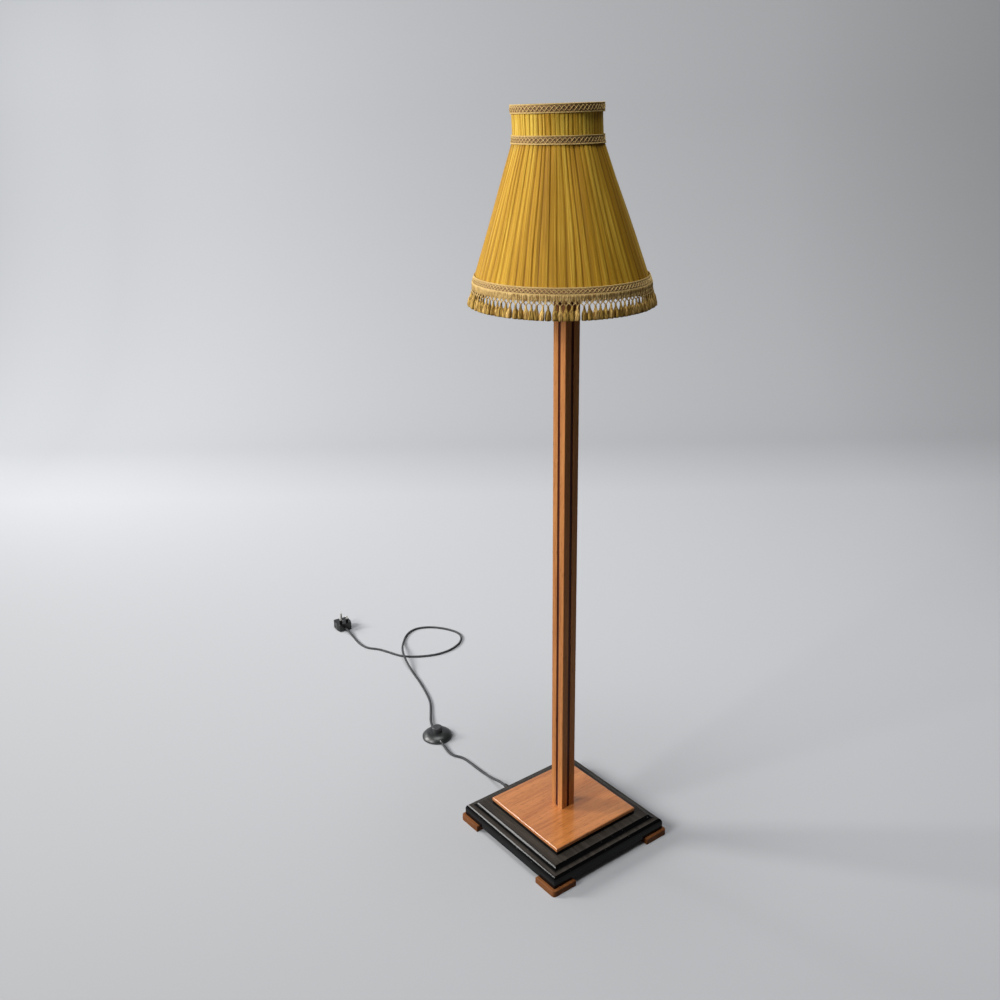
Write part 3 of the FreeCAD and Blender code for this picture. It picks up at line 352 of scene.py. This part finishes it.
def lining_point(across, up):
    level = rim_bottom + 0.0005 + (collar_level - 0.006 - rim_bottom) * up
    pull = 0.0004 * math.sin(16 * math.pi * across) * math.sin(math.pi * up)
    return shade_point(level, crest_radius(level) - lining_inset + pull, 2 * math.pi * across)


def weave_group():
    """Plain weave on a cloth's own map: threads across and along, as a height from 0 to 1."""
    group = bpy.data.node_groups.new("plain_weave", "ShaderNodeTree")
    group.interface.new_socket("Vector", in_out="INPUT", socket_type="NodeSocketVector")
    for socket_name in ("Across", "Along"):
        group.interface.new_socket(socket_name, in_out="INPUT", socket_type="NodeSocketFloat")
    group.interface.new_socket("Height", in_out="OUTPUT", socket_type="NodeSocketFloat")
    entry = group.nodes.new("NodeGroupInput").outputs
    leave = group.nodes.new("NodeGroupOutput").inputs
    apart = add_node(group, "SeparateXYZ", {"Vector": entry["Vector"]}).outputs
    waves = []
    for axis, socket_name in (("X", "Across"), ("Y", "Along")):
        turns = add_node(group, "Math", {0: apart[axis], 1: entry[socket_name]}, operation="MULTIPLY")
        waves.append(add_node(group, "Math", {0: turns.outputs[0]}, operation="SINE").outputs[0])
    crossed = add_node(group, "Math", {0: waves[0], 1: waves[1], 2: 0.5}, operation="MULTIPLY_ADD")
    group.links.new(crossed.outputs[0], leave["Height"])
    return group


plain_weave = weave_group()


def cloth_finish(name, tones, threads, streaks, roughness, sheen):
    """Woven cloth: light and dark places from its tone attribute, painted shade in the silk's creases among
    them, streaks along it, and threads on its own map.
    """
    made, tree, shader = new_material(name, tones[-1], roughness, specular=0.2)
    shader.inputs["Sheen Weight"].default_value = sheen
    shader.inputs["Sheen Roughness"].default_value = 0.4
    shader.inputs["Sheen Tint"].default_value = (*tones[-1], 1)
    streak = noise_field(tree, (*streaks, 1), 6, 0.7, "UV")
    tone_with_crease_shade = add_node(tree, "Attribute", {}, attribute_name="tone").outputs["Fac"]
    both = add_node(tree, "Math", {0: streak, 1: 1.45, 2: tone_with_crease_shade}, operation="MULTIPLY_ADD")
    spread = add_node(tree, "MapRange", {"Value": both.outputs[0], "From Max": 1.4})
    places = (0.30, 1.0) if len(tones) == 2 else (0.30, 0.72, 1.0)
    tone = tone_ramp(tree, spread.outputs["Result"], *zip(places, tones))
    tree.links.new(tone, shader.inputs["Base Color"])
    weave = add_node(tree, "Group", {
        "Vector": add_node(tree, "TexCoord", {}).outputs["UV"],
        "Across": threads[0], "Along": threads[1]}, node_tree=plain_weave)
    add_relief(tree, shader, weave.outputs["Height"], 0.5, 0.0002)
    return made


lining = rolled_cloth("lining_cloth", 256, 24, lining_point)
thicken(lining, 0.0004)
lining.data.materials.append(
    cloth_finish("lining_cotton", (lining_colour, (0.70, 0.58, 0.33)), (9000, 2400), (60, 3), 0.85, 0.1))
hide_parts("shade_lining")
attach(lining, "shade")


# ---- pleated silk of the cone ----
# Gold silk gathered into narrow pleats: tight under the collar's braid, looser towards the lower ring.
# No two pleats are alike; the cloth is sewn to the frame under the braids.

pleat_count = 64
pleat_depth = 0.0026
# The silk's colours run from painted shade deep in the creases to pale gold on the crests.
silk_tones = ((0.21, 0.088, 0.004), (0.54, 0.282, 0.013), (0.88, 0.60, 0.080))


def pleat_start(k):
    return (k + 0.22 * math.sin(k * 2.4)) / pleat_count


def pleat_place(share):
    """The pleat that a share of the round lies in, and where in it, from one crest to the next."""
    share %= 1.0
    k = int(share * pleat_count)
    while share < pleat_start(k):
        k -= 1
    while share >= pleat_start(k + 1):
        k += 1
    return k % pleat_count, (share - pleat_start(k)) / (pleat_start(k + 1) - pleat_start(k))


def round_crest(inside, crease):
    """Depth in a pleat, from 0 on its round crests to 1 in its sharp crease."""
    from_crest = inside / crease if inside < crease else (1 - inside) / (1 - crease)
    return 1 - math.sqrt(max(0.0, 1 - from_crest ** 2))


def silk_fall(across, up, wander):
    """How far the silk lies below the crests, as a share of the pleats' depth. Each pleat has its own
    depth, and a second, smaller fold opens beside its crease where the cloth is looser."""
    k, inside = pleat_place(across + wander)
    main = round_crest(inside, 0.36 + 0.12 * math.sin(k * 5.1))
    second = round_crest((inside * 2 + 0.3 * math.sin(k * 1.9)) % 1.0, 0.55)
    deep = 0.70 + 0.30 * math.sin(k * 3.7 + 1.8 * up) * math.cos(k * 1.3)
    loose = 0.55 * (1 - up) * (0.5 + 0.5 * math.sin(k * 2.9 + 1.2))
    broad = 0.35 * (1 + math.sin(2 * math.pi * 9 * across + 1.5 * math.sin(4 * up)))
    return main * deep + second * loose + broad, main


# The silk's tone: painted shade darkens each pleat's crease, and some pleats and bands round the shade come
# out lighter or darker than others.
def silk_shade_and_tone(across, up, wander):
    k = pleat_place(across + wander)[0]
    main = silk_fall(across, up, wander)[1]
    own = 0.10 * math.sin(k * 7.3 + 1.1) + 0.09 * math.sin(2 * math.pi * 11 * across + 2 * up)
    own += 0.06 * math.sin(2 * math.pi * 5 * across + 3.0)
    return 0.29 - 0.66 * main ** 1.5 + own


def cone_wander(across, up):
    slow = 0.0016 * math.sin(2 * math.pi * 5 * across + 2.6 * up)
    quick = 0.0011 * math.sin(2 * math.pi * 17 * across + 4.1 * up)
    return (slow + quick) * math.sin(math.pi * up)


def cone_point(across, up):
    level = rim_bottom + 0.0012 + (collar_level - 0.0016 - rim_bottom) * up
    fall = pleat_depth * silk_fall(across, up, cone_wander(across, up))[0]
    return shade_point(level, crest_radius(level) - 0.0003 - fall, 2 * math.pi * across)


def cone_shade_and_tone(across, up):
    return silk_shade_and_tone(across, up, cone_wander(across, up))


silk_cone = rolled_cloth("silk_cone", pleat_count * 18, 36, cone_point, cone_shade_and_tone)
thicken(silk_cone, 0.0003)
silk_cone.data.materials.append(
    cloth_finish("silk_of_the_cone", silk_tones, (14000, 2600), (460, 1.6), 0.5, 0.12))
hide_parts("shade_cover")
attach(silk_cone, "shade")


# ---- pleated silk of the collar ----
# A strip of the same silk, pleated upright between the two upper rings.

collar_low = collar_level + 0.0004
collar_high = rim_top - 0.0008


def collar_wander(across, up):
    return 0.0008 * math.sin(18 * math.pi * across + 3 * up)


def collar_point(across, up):
    level = collar_low + (collar_high - collar_low) * up
    fall = 0.0021 * silk_fall(across, 1.0 - 0.3 * up, collar_wander(across, up))[0]
    waist = 0.0007 * math.sin(math.pi * up)
    return shade_point(level, crest_radius(level) - 0.0003 - waist - fall, 2 * math.pi * across)


# The collar's tone sits 0.22 above the cone's, with the same painted shade in its creases.
def collar_shade_and_tone(across, up):
    return 0.22 + silk_shade_and_tone(across, 1.0 - 0.3 * up, collar_wander(across, up))


silk_collar = rolled_cloth("silk_collar", pleat_count * 16, 12, collar_point, collar_shade_and_tone)
thicken(silk_collar, 0.0003)
silk_collar.data.materials.append(
    cloth_finish("silk_of_the_collar", silk_tones, (7800, 640), (290, 0.6), 0.5, 0.12))
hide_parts("shade_collar")
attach(silk_collar, "shade")


# ---- three braids ----
# Woven gimp, glued over the edges of the silk: a brownish band with two corded edges on each side,
# and two pale cords that cross and recross between them.

braid_ground = (0.19, 0.10, 0.047)
braid_cord = (0.82, 0.60, 0.25)


def yarn_finish(name, dark, pale, across, along):
    """Twisted yarn: fine strands that run up and down, in two tones, and a little fuzz."""
    made, tree, shader = new_material(name, dark, 0.8, specular=0.2)
    shader.inputs["Sheen Weight"].default_value = 0.15
    shader.inputs["Sheen Tint"].default_value = (*pale, 1)
    strand = noise_field(tree, (across, across, along), 3)
    tree.links.new(tone_ramp(tree, strand, (0.38, dark), (0.60, pale)), shader.inputs["Base Color"])
    add_relief(tree, shader, strand, 0.6, 0.0003)
    return made


braid_band_finish = yarn_finish("braid_ground_yarn", braid_ground, (0.36, 0.205, 0.10), 500, 500)
braid_cord_finish = yarn_finish("braid_cord_yarn", (0.52, 0.35, 0.13), braid_cord, 700, 700)


def ring_cord(verts, faces, line, thickness, sides):
    """Adds a closed cord along a ring of points."""
    start = len(verts)
    count = len(line)
    for i, point in enumerate(line):
        along = (line[(i + 1) % count] - line[i - 1]).normalized()
        out = Vector((point.x, point.y, 0)).normalized()
        aside = along.cross(out).normalized()
        out = aside.cross(along)
        for j in range(sides):
            turn = 2 * math.pi * (j + 0.5) / sides
            verts.append(point + (out * math.cos(turn) + aside * math.sin(turn)) * thickness)
    for i in range(count):
        for j in range(sides):
            a = start + i * sides + j
            b = start + i * sides + (j + 1) % sides
            c = start + ((i + 1) % count) * sides + (j + 1) % sides
            d = start + ((i + 1) % count) * sides + j
            faces.append((a, d, c, b))


def mesh_piece(name, verts, faces):
    data = bpy.data.meshes.new(name)
    data.from_pydata([tuple(v) for v in verts], [], faces)
    made = bpy.data.objects.new(name, data)
    bpy.context.scene.collection.objects.link(made)
    clear_selection()
    made.select_set(True)
    bpy.context.view_layer.objects.active = made
    bpy.ops.object.mode_set(mode="EDIT")
    bpy.ops.mesh.select_all(action="SELECT")
    bpy.ops.mesh.normals_make_consistent(inside=False)
    bpy.ops.object.mode_set(mode="OBJECT")
    bpy.ops.object.shade_smooth()
    return made


def lay_braid(name, node, low, high, crossings):
    """Band, corded edges and the two crossed cords, between two levels of the shade."""
    middle = (low + high) / 2
    swing = (high - low) / 2 - 0.0031

    def on_silk(level, height, share):
        return shade_point(level, crest_radius(level) + height, 2 * math.pi * share)

    def band_point(across, up):
        level = low + (high - low) * up
        return on_silk(level, 0.0004 + 0.0003 * (1 - (2 * up - 1) ** 2), across)

    band = rolled_cloth(name, 360, 6, band_point)
    thicken(band, 0.0003)
    band.data.materials.append(braid_band_finish)
    verts, faces = [], []
    for level, thickness in ((low + 0.0009, 0.0009), (low + 0.0023, 0.0005),
                             (high - 0.0023, 0.0005), (high - 0.0009, 0.0009)):
        line = []
        for i in range(crossings * 8):
            knot = 0.0002 * (-1) ** i
            line.append(on_silk(level + knot, 0.0008 + knot, i / (crossings * 8)))
        ring_cord(verts, faces, line, thickness, 5)
    for side in (-1, 1):
        line = []
        for i in range(crossings * 8):
            step = (0, 0.5, 0.92, 0.5, 0, -0.5, -0.92, -0.5)[i % 8]
            over = 0.0004 * side * math.cos(math.pi / 4 * i)
            line.append(on_silk(middle + side * step * swing, 0.0010 + over, i / (crossings * 8)))
        ring_cord(verts, faces, line, 0.0008, 4)
    cords = mesh_piece(name + "_cords", verts, faces)
    cords.data.materials.append(braid_cord_finish)
    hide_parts(node)
    for piece in (band, cords):
        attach(piece, "shade")


lay_braid("top_braid", "braid_top", rim_top - 0.0165, rim_top, 31)
lay_braid("collar_braid", "braid_collar", collar_level - 0.006, collar_level + 0.010, 31)
lay_braid("bottom_braid", "braid_bottom", rim_bottom, rim_bottom + 0.014, 62)


# ---- fringe ----
# A band of upright yarn under the lower braid, an open net of knotted yarns below it, and a tassel of
# cut yarn at each of the net's points. The tassels are gold, with brown strands among them.

heading_low = 1.296
tassel_count = 104
net_level = 1.2897
tassel_top = 1.2845
fringe_radius = bottom_radius + 0.0009
tassel_flare = math.radians(6.5)


def fringe_place(level, share, lift=0.0):
    """Point of the hanging fringe, which spreads a little as it falls; share counts the tassels."""
    radius = fringe_radius + (heading_low - level) * math.tan(tassel_flare) + lift
    return shade_point(level, radius, 2 * math.pi * share / tassel_count)


def heading_point(across, up):
    clump = math.sin(2 * math.pi * across * tassel_count * 2)
    rib = 0.0005 * math.sin(2 * math.pi * across * 416) + 0.0004 * clump
    low = heading_low - 0.0022 - 0.0012 * clump
    level = low + (rim_bottom + 0.0006 - low) * up
    return shade_point(level, fringe_radius + rib * (1 - 0.5 * up) + 0.0004, 2 * math.pi * across)


heading = rolled_cloth("fringe_band", 1664, 4, heading_point)
thicken(heading, 0.0006)
fringe_gold = yarn_finish("fringe_gold_yarn", (0.26, 0.14, 0.035), (0.74, 0.52, 0.21), 420, 60)
heading.data.materials.append(fringe_gold)
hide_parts("fringe_heading")
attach(heading, "shade")


def net_yarn(verts, faces, start, end, bow, thickness):
    """One yarn of the net, in three short stretches."""
    out = Vector((start.x, start.y, 0)).normalized()
    along = (end - start).normalized()
    aside = along.cross(out).normalized()
    first = len(verts)
    for i in range(4):
        share = i / 3
        centre = start.lerp(end, share) + aside * bow * math.sin(math.pi * share)
        for j in range(4):
            turn = 2 * math.pi * (j + 0.5) / 4
            verts.append(centre + (out * math.cos(turn) + aside * math.sin(turn)) * thickness)
    for i in range(3):
        for j in range(4):
            a = first + i * 4 + j
            b = first + i * 4 + (j + 1) % 4
            faces.append((a, b, b + 4, a + 4))
    faces.append(tuple(first + j for j in (3, 2, 1, 0)))
    faces.append(tuple(first + 12 + j for j in (0, 1, 2, 3)))


def tassel_sway(k):
    return 0.06 * math.sin(k * 2.7)


def fringe_net():
    """Yarns fan down from the band to a row of knots, and from each knot to the tassels beside it."""
    verts, faces = [], []
    for k in range(tassel_count):
        knot = fringe_place(net_level + 0.0006 * math.sin(k * 1.9), k + 0.5 + 0.08 * math.sin(k * 3.1))
        for reach, bow in ((-0.58, 0.0006), (-0.22, -0.0004), (0.20, 0.0004), (0.58, -0.0006)):
            head = fringe_place(heading_low + 0.0010, k + 0.5 + reach, 0.0004 * math.copysign(1, reach))
            net_yarn(verts, faces, head, knot, bow, 0.0010)
        for side in (0, 1):
            foot = fringe_place(tassel_top - 0.0008, k + side + tassel_sway((k + side) % tassel_count))
            net_yarn(verts, faces, knot + Vector((0, 0, 0.0008)), foot, 0.0009 * (1 - 2 * side), 0.00115)
    return mesh_piece("fringe_net", verts, faces)


net = fringe_net()
net.data.materials.append(fringe_gold)
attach(net, "shade")

tassel_profile = [
    (0.0015, 0.0012), (0.0021, -0.0016), (0.0019, -0.0040), (0.0028, -0.0054), (0.0026, -0.0068),
    (0.0038, -0.0086), (0.0048, -0.0122), (0.0053, -0.0170), (0.0056, -0.0220), (0.0055, -0.0250),
    (0.0046, -0.0260), (0.0018, -0.0254)]


def tassel_pattern():
    """One tassel hanging from the origin: a round bar drawn out ring by ring, then fluted in strands."""
    clear_selection()
    radius, level = tassel_profile[0]
    bpy.ops.mesh.primitive_circle_add(vertices=14, radius=radius, fill_type="NGON", location=(0, 0, level))
    tassel = bpy.context.object
    bpy.ops.object.mode_set(mode="EDIT")
    bpy.ops.mesh.select_all(action="SELECT")
    for (radius, level), (wider, lower) in zip(tassel_profile, tassel_profile[1:]):
        bpy.ops.mesh.extrude_region_move(TRANSFORM_OT_translate={"value": (0, 0, lower - level)})
        grow = wider / radius
        bpy.ops.transform.resize(value=(grow, grow, 1), center_override=(0, 0, lower))
    bpy.ops.mesh.select_all(action="SELECT")
    bpy.ops.mesh.normals_make_consistent(inside=False)
    bpy.ops.object.mode_set(mode="OBJECT")
    bpy.ops.object.transform_apply(location=True)
    for vertex in tassel.data.vertices:
        strand = round(math.atan2(vertex.co.y, vertex.co.x) / (math.pi / 7))
        fluting = 0.15 * min(1.0, max(0.0, -0.006 - vertex.co.z) / 0.008)
        swell = 1.0 + (fluting if strand % 2 else -fluting)
        vertex.co.x *= swell
        vertex.co.y *= swell
    bpy.ops.object.shade_smooth()
    return tassel


def hang_tassels(pattern, name, keep):
    """Copies the pattern to its places round the shade and joins the copies."""
    copies = []
    for k in range(tassel_count):
        if not keep(k):
            continue
        share = k + tassel_sway(k)
        angle = 2 * math.pi * share / tassel_count
        data = pattern.data.copy()
        plump = 1.05 + 0.09 * math.sin(k * 4.3)
        long = 0.985 + 0.015 * math.sin(k * 6.1)
        size = Matrix.Diagonal((1.0, plump, long, 1))
        spin = Matrix.Rotation(k * 1.7, 4, "Z")
        hang_out = Matrix.Rotation(-tassel_flare + 0.05 * math.sin(k * 3.3), 4, "Y")
        sideways = Matrix.Rotation(0.08 * math.sin(k * 5.2), 4, "X")
        place = Matrix.Translation(fringe_place(tassel_top, share))
        data.transform(place @ Matrix.Rotation(angle, 4, "Z") @ hang_out @ sideways @ size @ spin)
        copy = bpy.data.objects.new(name, data)
        bpy.context.scene.collection.objects.link(copy)
        copies.append(copy)
    clear_selection()
    for copy in copies:
        copy.select_set(True)
    bpy.context.view_layer.objects.active = copies[0]
    bpy.ops.object.join()
    bpy.context.object.name = name
    return bpy.context.object


pattern = tassel_pattern()
gold_tassels = hang_tassels(pattern, "gold_tassels", lambda k: math.sin(k * 2.1) < 0.35)
brown_tassels = hang_tassels(pattern, "brown_tassels", lambda k: math.sin(k * 2.1) >= 0.35)
bpy.data.objects.remove(pattern)
gold_tassels.data.materials.append(
    yarn_finish("tassel_gold_yarn", (0.21, 0.105, 0.02), (0.80, 0.53, 0.17), 520, 45))
brown_tassels.data.materials.append(
    yarn_finish("tassel_brown_yarn", (0.12, 0.06, 0.012), (0.54, 0.34, 0.075), 520, 45))
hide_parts("fringe_tassels")
for tassels in (gold_tassels, brown_tassels):
    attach(tassels, "shade")


# ---- plinth ----
# One block of wood with a moulded edge and a step on top, under a glossy black lacquer. Dust and rubbing
# have dulled its flat top, and its faces that look up also carry a painted grey reflection. There are pale
# specks all over it.

plinth_black = (0.0035, 0.0035, 0.004)
plinth_dust_and_reflection = (0.095, 0.080, 0.066)


def plinth_finish():
    made, tree, shader = new_material("black_lacquer", plinth_black, 0.18, specular=0.12)
    pores = noise_field(tree, 300, 4)
    specks = tone_ramp(tree, pores, (0.69, plinth_black), (0.76, (0.20, 0.195, 0.18)))
    rubbing = noise_field(tree, (14, 120, 14), 5)
    # Faces that look up get a streaky grey: partly dust, partly a painted reflection.
    normal = add_node(tree, "NewGeometry", {}).outputs["Normal"]
    facing = add_node(tree, "SeparateXYZ", {"Vector": normal}).outputs
    level_top = add_node(tree, "MapRange", {"Value": facing["Z"], "From Min": 0.90, "From Max": 0.99})
    dust_and_reflection = add_node(tree, "Math", {0: level_top.outputs["Result"], 1: rubbing}, operation="MULTIPLY")
    top_dust_and_reflection = add_node(tree, "Mix", {
        "Factor": dust_and_reflection.outputs[0], "A": specks, "B": (*plinth_dust_and_reflection, 1)}, data_type="RGBA")
    tree.links.new(top_dust_and_reflection.outputs["Result"], shader.inputs["Base Color"])
    gloss = add_node(tree, "MapRange", {
        "Value": dust_and_reflection.outputs[0], "From Max": 0.6, "To Min": 0.13, "To Max": 0.42})
    tree.links.new(gloss.outputs["Result"], shader.inputs["Roughness"])
    add_relief(tree, shader, pores, 0.25, 0.0004)
    return made


def dress(node, finish):
    """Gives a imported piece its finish."""
    nodes[node].data.materials.clear()
    nodes[node].data.materials.append(finish)


dress("base_plinth", plinth_finish())


# ---- panel ----
# A square board of reddish brown hardwood with an oiled and polished face, its grain along Y.

wood_pale = (0.80, 0.31, 0.085)
wood_deep = (0.46, 0.135, 0.026)


def grain_group():
    """Straight-grained hardwood along Z: tone from 0, deep, to 1, pale, and the height of its pores."""
    group = bpy.data.node_groups.new("wood_grain", "ShaderNodeTree")
    group.interface.new_socket("Vector", in_out="INPUT", socket_type="NodeSocketVector")
    group.interface.new_socket("Tone", in_out="OUTPUT", socket_type="NodeSocketFloat")
    group.interface.new_socket("Pores", in_out="OUTPUT", socket_type="NodeSocketFloat")
    entry = group.nodes.new("NodeGroupInput").outputs
    leave = group.nodes.new("NodeGroupOutput").inputs

    def noise(scale, detail, roughness):
        stretch = add_node(group, "Mapping", {"Vector": entry["Vector"], "Scale": scale})
        field = add_node(group, "TexNoise", {
            "Vector": stretch.outputs["Vector"], "Scale": 1, "Detail": detail, "Roughness": roughness})
        return field.outputs["Fac"]

    broad = noise((26, 26, 2.2), 4, 0.6)
    fine = noise((170, 170, 7), 5, 0.65)
    mixed = add_node(group, "Mix", {"Factor": 0.45, "A": broad, "B": fine})
    spread = add_node(group, "MapRange", {
        "Value": mixed.outputs["Result"], "From Min": 0.33, "From Max": 0.67})
    group.links.new(spread.outputs["Result"], leave["Tone"])
    group.links.new(noise((900, 900, 45), 2, 0.5), leave["Pores"])
    return group


wood_grain = grain_group()


def wood_finish(name, deep, pale, turn, roughness, coat=0, coat_ior=1.5, specular=0.5):
    """Polished wood; turn lays the grain along the piece."""
    made, tree, shader = new_material(name, deep, roughness, specular=specular)
    shader.inputs["Coat Weight"].default_value = coat
    shader.inputs["Coat Roughness"].default_value = 0.18
    shader.inputs["Coat IOR"].default_value = coat_ior
    where = add_node(tree, "TexCoord", {}).outputs["Object"]
    lay = add_node(tree, "Mapping", {"Vector": where, "Rotation": turn})
    grain = add_node(tree, "Group", {"Vector": lay.outputs["Vector"]}, node_tree=wood_grain).outputs
    tones = tone_ramp(tree, grain["Tone"], (0, deep), (1, pale))
    pits = tone_ramp(tree, grain["Pores"], (0.30, (0.45, 0.40, 0.38)), (0.42, (1, 1, 1)))
    darken = add_node(tree, "Mix", {
        "Factor": 1.0, "A": tones, "B": pits}, data_type="RGBA", blend_type="MULTIPLY")
    tree.links.new(darken.outputs["Result"], shader.inputs["Base Color"])
    add_relief(tree, shader, grain["Pores"], 0.12, 0.0003)
    return made


grain_along_y = (math.pi / 2, 0, 0)
dress("base_panel", wood_finish("panel_wood", wood_deep, wood_pale, grain_along_y, 0.3, 1.0, 1.8))


# ---- feet ----
# Four small square blocks of a plainer brown wood, waxed, screwed up under the plinth's corners.

foot_deep = (0.13, 0.042, 0.012)
foot_pale = (0.31, 0.12, 0.042)
grain_along_x = (0, math.pi / 2, 0)
foot_wood = wood_finish("foot_wood", foot_deep, foot_pale, grain_along_x, 0.5, specular=0.1)
for corner in ("front_left", "front_right", "back_right", "back_left"):
    dress("foot_" + corner, foot_wood)


# ---- column ----
# Two halves of the same reddish hardwood glued round the tube, shellac polished, grain upright.

column_deep = (0.36, 0.12, 0.028)
column_pale = (0.68, 0.29, 0.09)
upright = (0, 0, 0)
column_wood = wood_finish("column_wood", column_deep, column_pale, upright, 0.4, specular=0.22)
dress("column_half_left", column_wood)
dress("column_half_right", column_wood)


# ---- inlays ----
# A dark maroon strip down the middle of each face, set a little below it.

inlay_deep = (0.034, 0.006, 0.003)
inlay_pale = (0.095, 0.012, 0.005)
dress("column_inlays", wood_finish("inlay_wood", inlay_deep, inlay_pale, upright, 0.4, specular=0.15))


# ---- metal parts ----
# Turned and pressed brass of the lampholder and its shade fittings, and zinc plated steel below.

def metal_finish(name, colour, roughness, tarnish):
    """Metal with darker, duller patches."""
    made, tree, shader = new_material(name, colour, roughness, 1.0)
    marks = noise_field(tree, 140, 5)
    tree.links.new(tone_ramp(tree, marks, (0.35, tarnish), (0.6, colour)), shader.inputs["Base Color"])
    wear = add_node(tree, "MapRange", {
        "Value": marks, "To Min": roughness + 0.12, "To Max": roughness - 0.08})
    tree.links.new(wear.outputs["Result"], shader.inputs["Roughness"])
    return made


brass = metal_finish("lacquered_brass", (0.78, 0.56, 0.24), 0.28, (0.55, 0.36, 0.13))
for name in ("tie_nut_top", "column_top_plate", "top_plate_screws", "lampholder_cap", "lampholder_plungers",
             "lampholder_shell", "shade_ring", "shade_carrier", "gimbal_ring", "gimbal_pivots",
             "switch_bridge", "switch_terminals"):
    dress(name, brass)
plated_steel = metal_finish("zinc_plated_steel", (0.60, 0.60, 0.61), 0.36, (0.42, 0.42, 0.43))
for name in ("foot_screws", "panel_screws", "well_cover_screws", "tie_tube", "tie_washer", "tie_nut_bottom",
             "plunger_springs", "switch_spring", "switch_screws", "plug_cover_screw"):
    dress(name, plated_steel)
nickel = metal_finish("nickel_plated_brass", (0.80, 0.79, 0.75), 0.3, (0.62, 0.60, 0.55))
dress("plug_line_pins", nickel)
dress("plug_earth_pin", nickel)
dress("bulb_cap", metal_finish("bulb_cap_metal", (0.78, 0.78, 0.80), 0.25, (0.62, 0.62, 0.64)))


# ---- shade frame ----
# Steel wire, welded and painted cream.

def painted_finish(name, colour, roughness, bump_scale, bump, specular=0.5):
    """Paint, glaze or moulding: an even colour, a little darker in places, over a fine grain."""
    made, tree, shader = new_material(name, colour, roughness, specular=specular)
    grain = noise_field(tree, bump_scale, 4)
    tones = tone_ramp(tree, grain, (0.3, [c * 0.82 for c in colour]), (0.6, colour))
    tree.links.new(tones, shader.inputs["Base Color"])
    add_relief(tree, shader, grain, bump, 0.0003)
    return made


cream_paint = painted_finish("cream_paint", (0.74, 0.69, 0.56), 0.45, 200, 0.2)
dress("shade_frame", cream_paint)
dress("gimbal_arms", cream_paint)


# ---- small fittings ----
# Porcelain insulator, the bulb's glass and mount, the rubber sleeve, the well's cover, fuse and clamp.

porcelain = painted_finish("glazed_porcelain", (0.86, 0.85, 0.81), 0.15, 60, 0.03)
for name in ("lampholder_insulator", "bulb_mount", "plug_fuse"):
    dress(name, porcelain)
pearl, _, pearl_shader = new_material("pearl_glass", (0.95, 0.95, 0.94), 0.45)
pearl_shader.inputs["Transmission Weight"].default_value = 0.7
dress("bulb_glass", pearl)
dress("flex_outlet_sleeve", painted_finish("black_rubber", (0.025, 0.025, 0.026), 0.6, 400, 0.25))
plywood_deep = (0.36, 0.25, 0.14)
plywood_pale = (0.55, 0.42, 0.26)
dress("well_cover", wood_finish("cover_plywood", plywood_deep, plywood_pale, grain_along_x, 0.7))
dress("plug_cord_clamp", painted_finish("brown_fibre", (0.32, 0.20, 0.12), 0.7, 500, 0.2))
dress("flex_inside", sheath)


# ---- foot switch ----
# Glossy black moulding with a grey push button in its crown.

def moulded_finish(name, colour, roughness, specular=0.5):
    return painted_finish(name, colour, roughness, 90, 0.05, specular)


switch_black = moulded_finish("switch_moulding", (0.013, 0.016, 0.016), 0.38, 0.95)
dress("switch_cover", switch_black)
dress("switch_base", switch_black)
dress("switch_button", moulded_finish("button_moulding", (0.055, 0.056, 0.06), 0.35))


# ---- plug ----
# Black moulding in two halves; it lies on its back with the pins up.

plug_black = moulded_finish("plug_moulding", (0.004, 0.004, 0.0045), 0.2)
for name in ("plug_base", "plug_cover", "plug_pin_sleeves"):
    dress(name, plug_black)
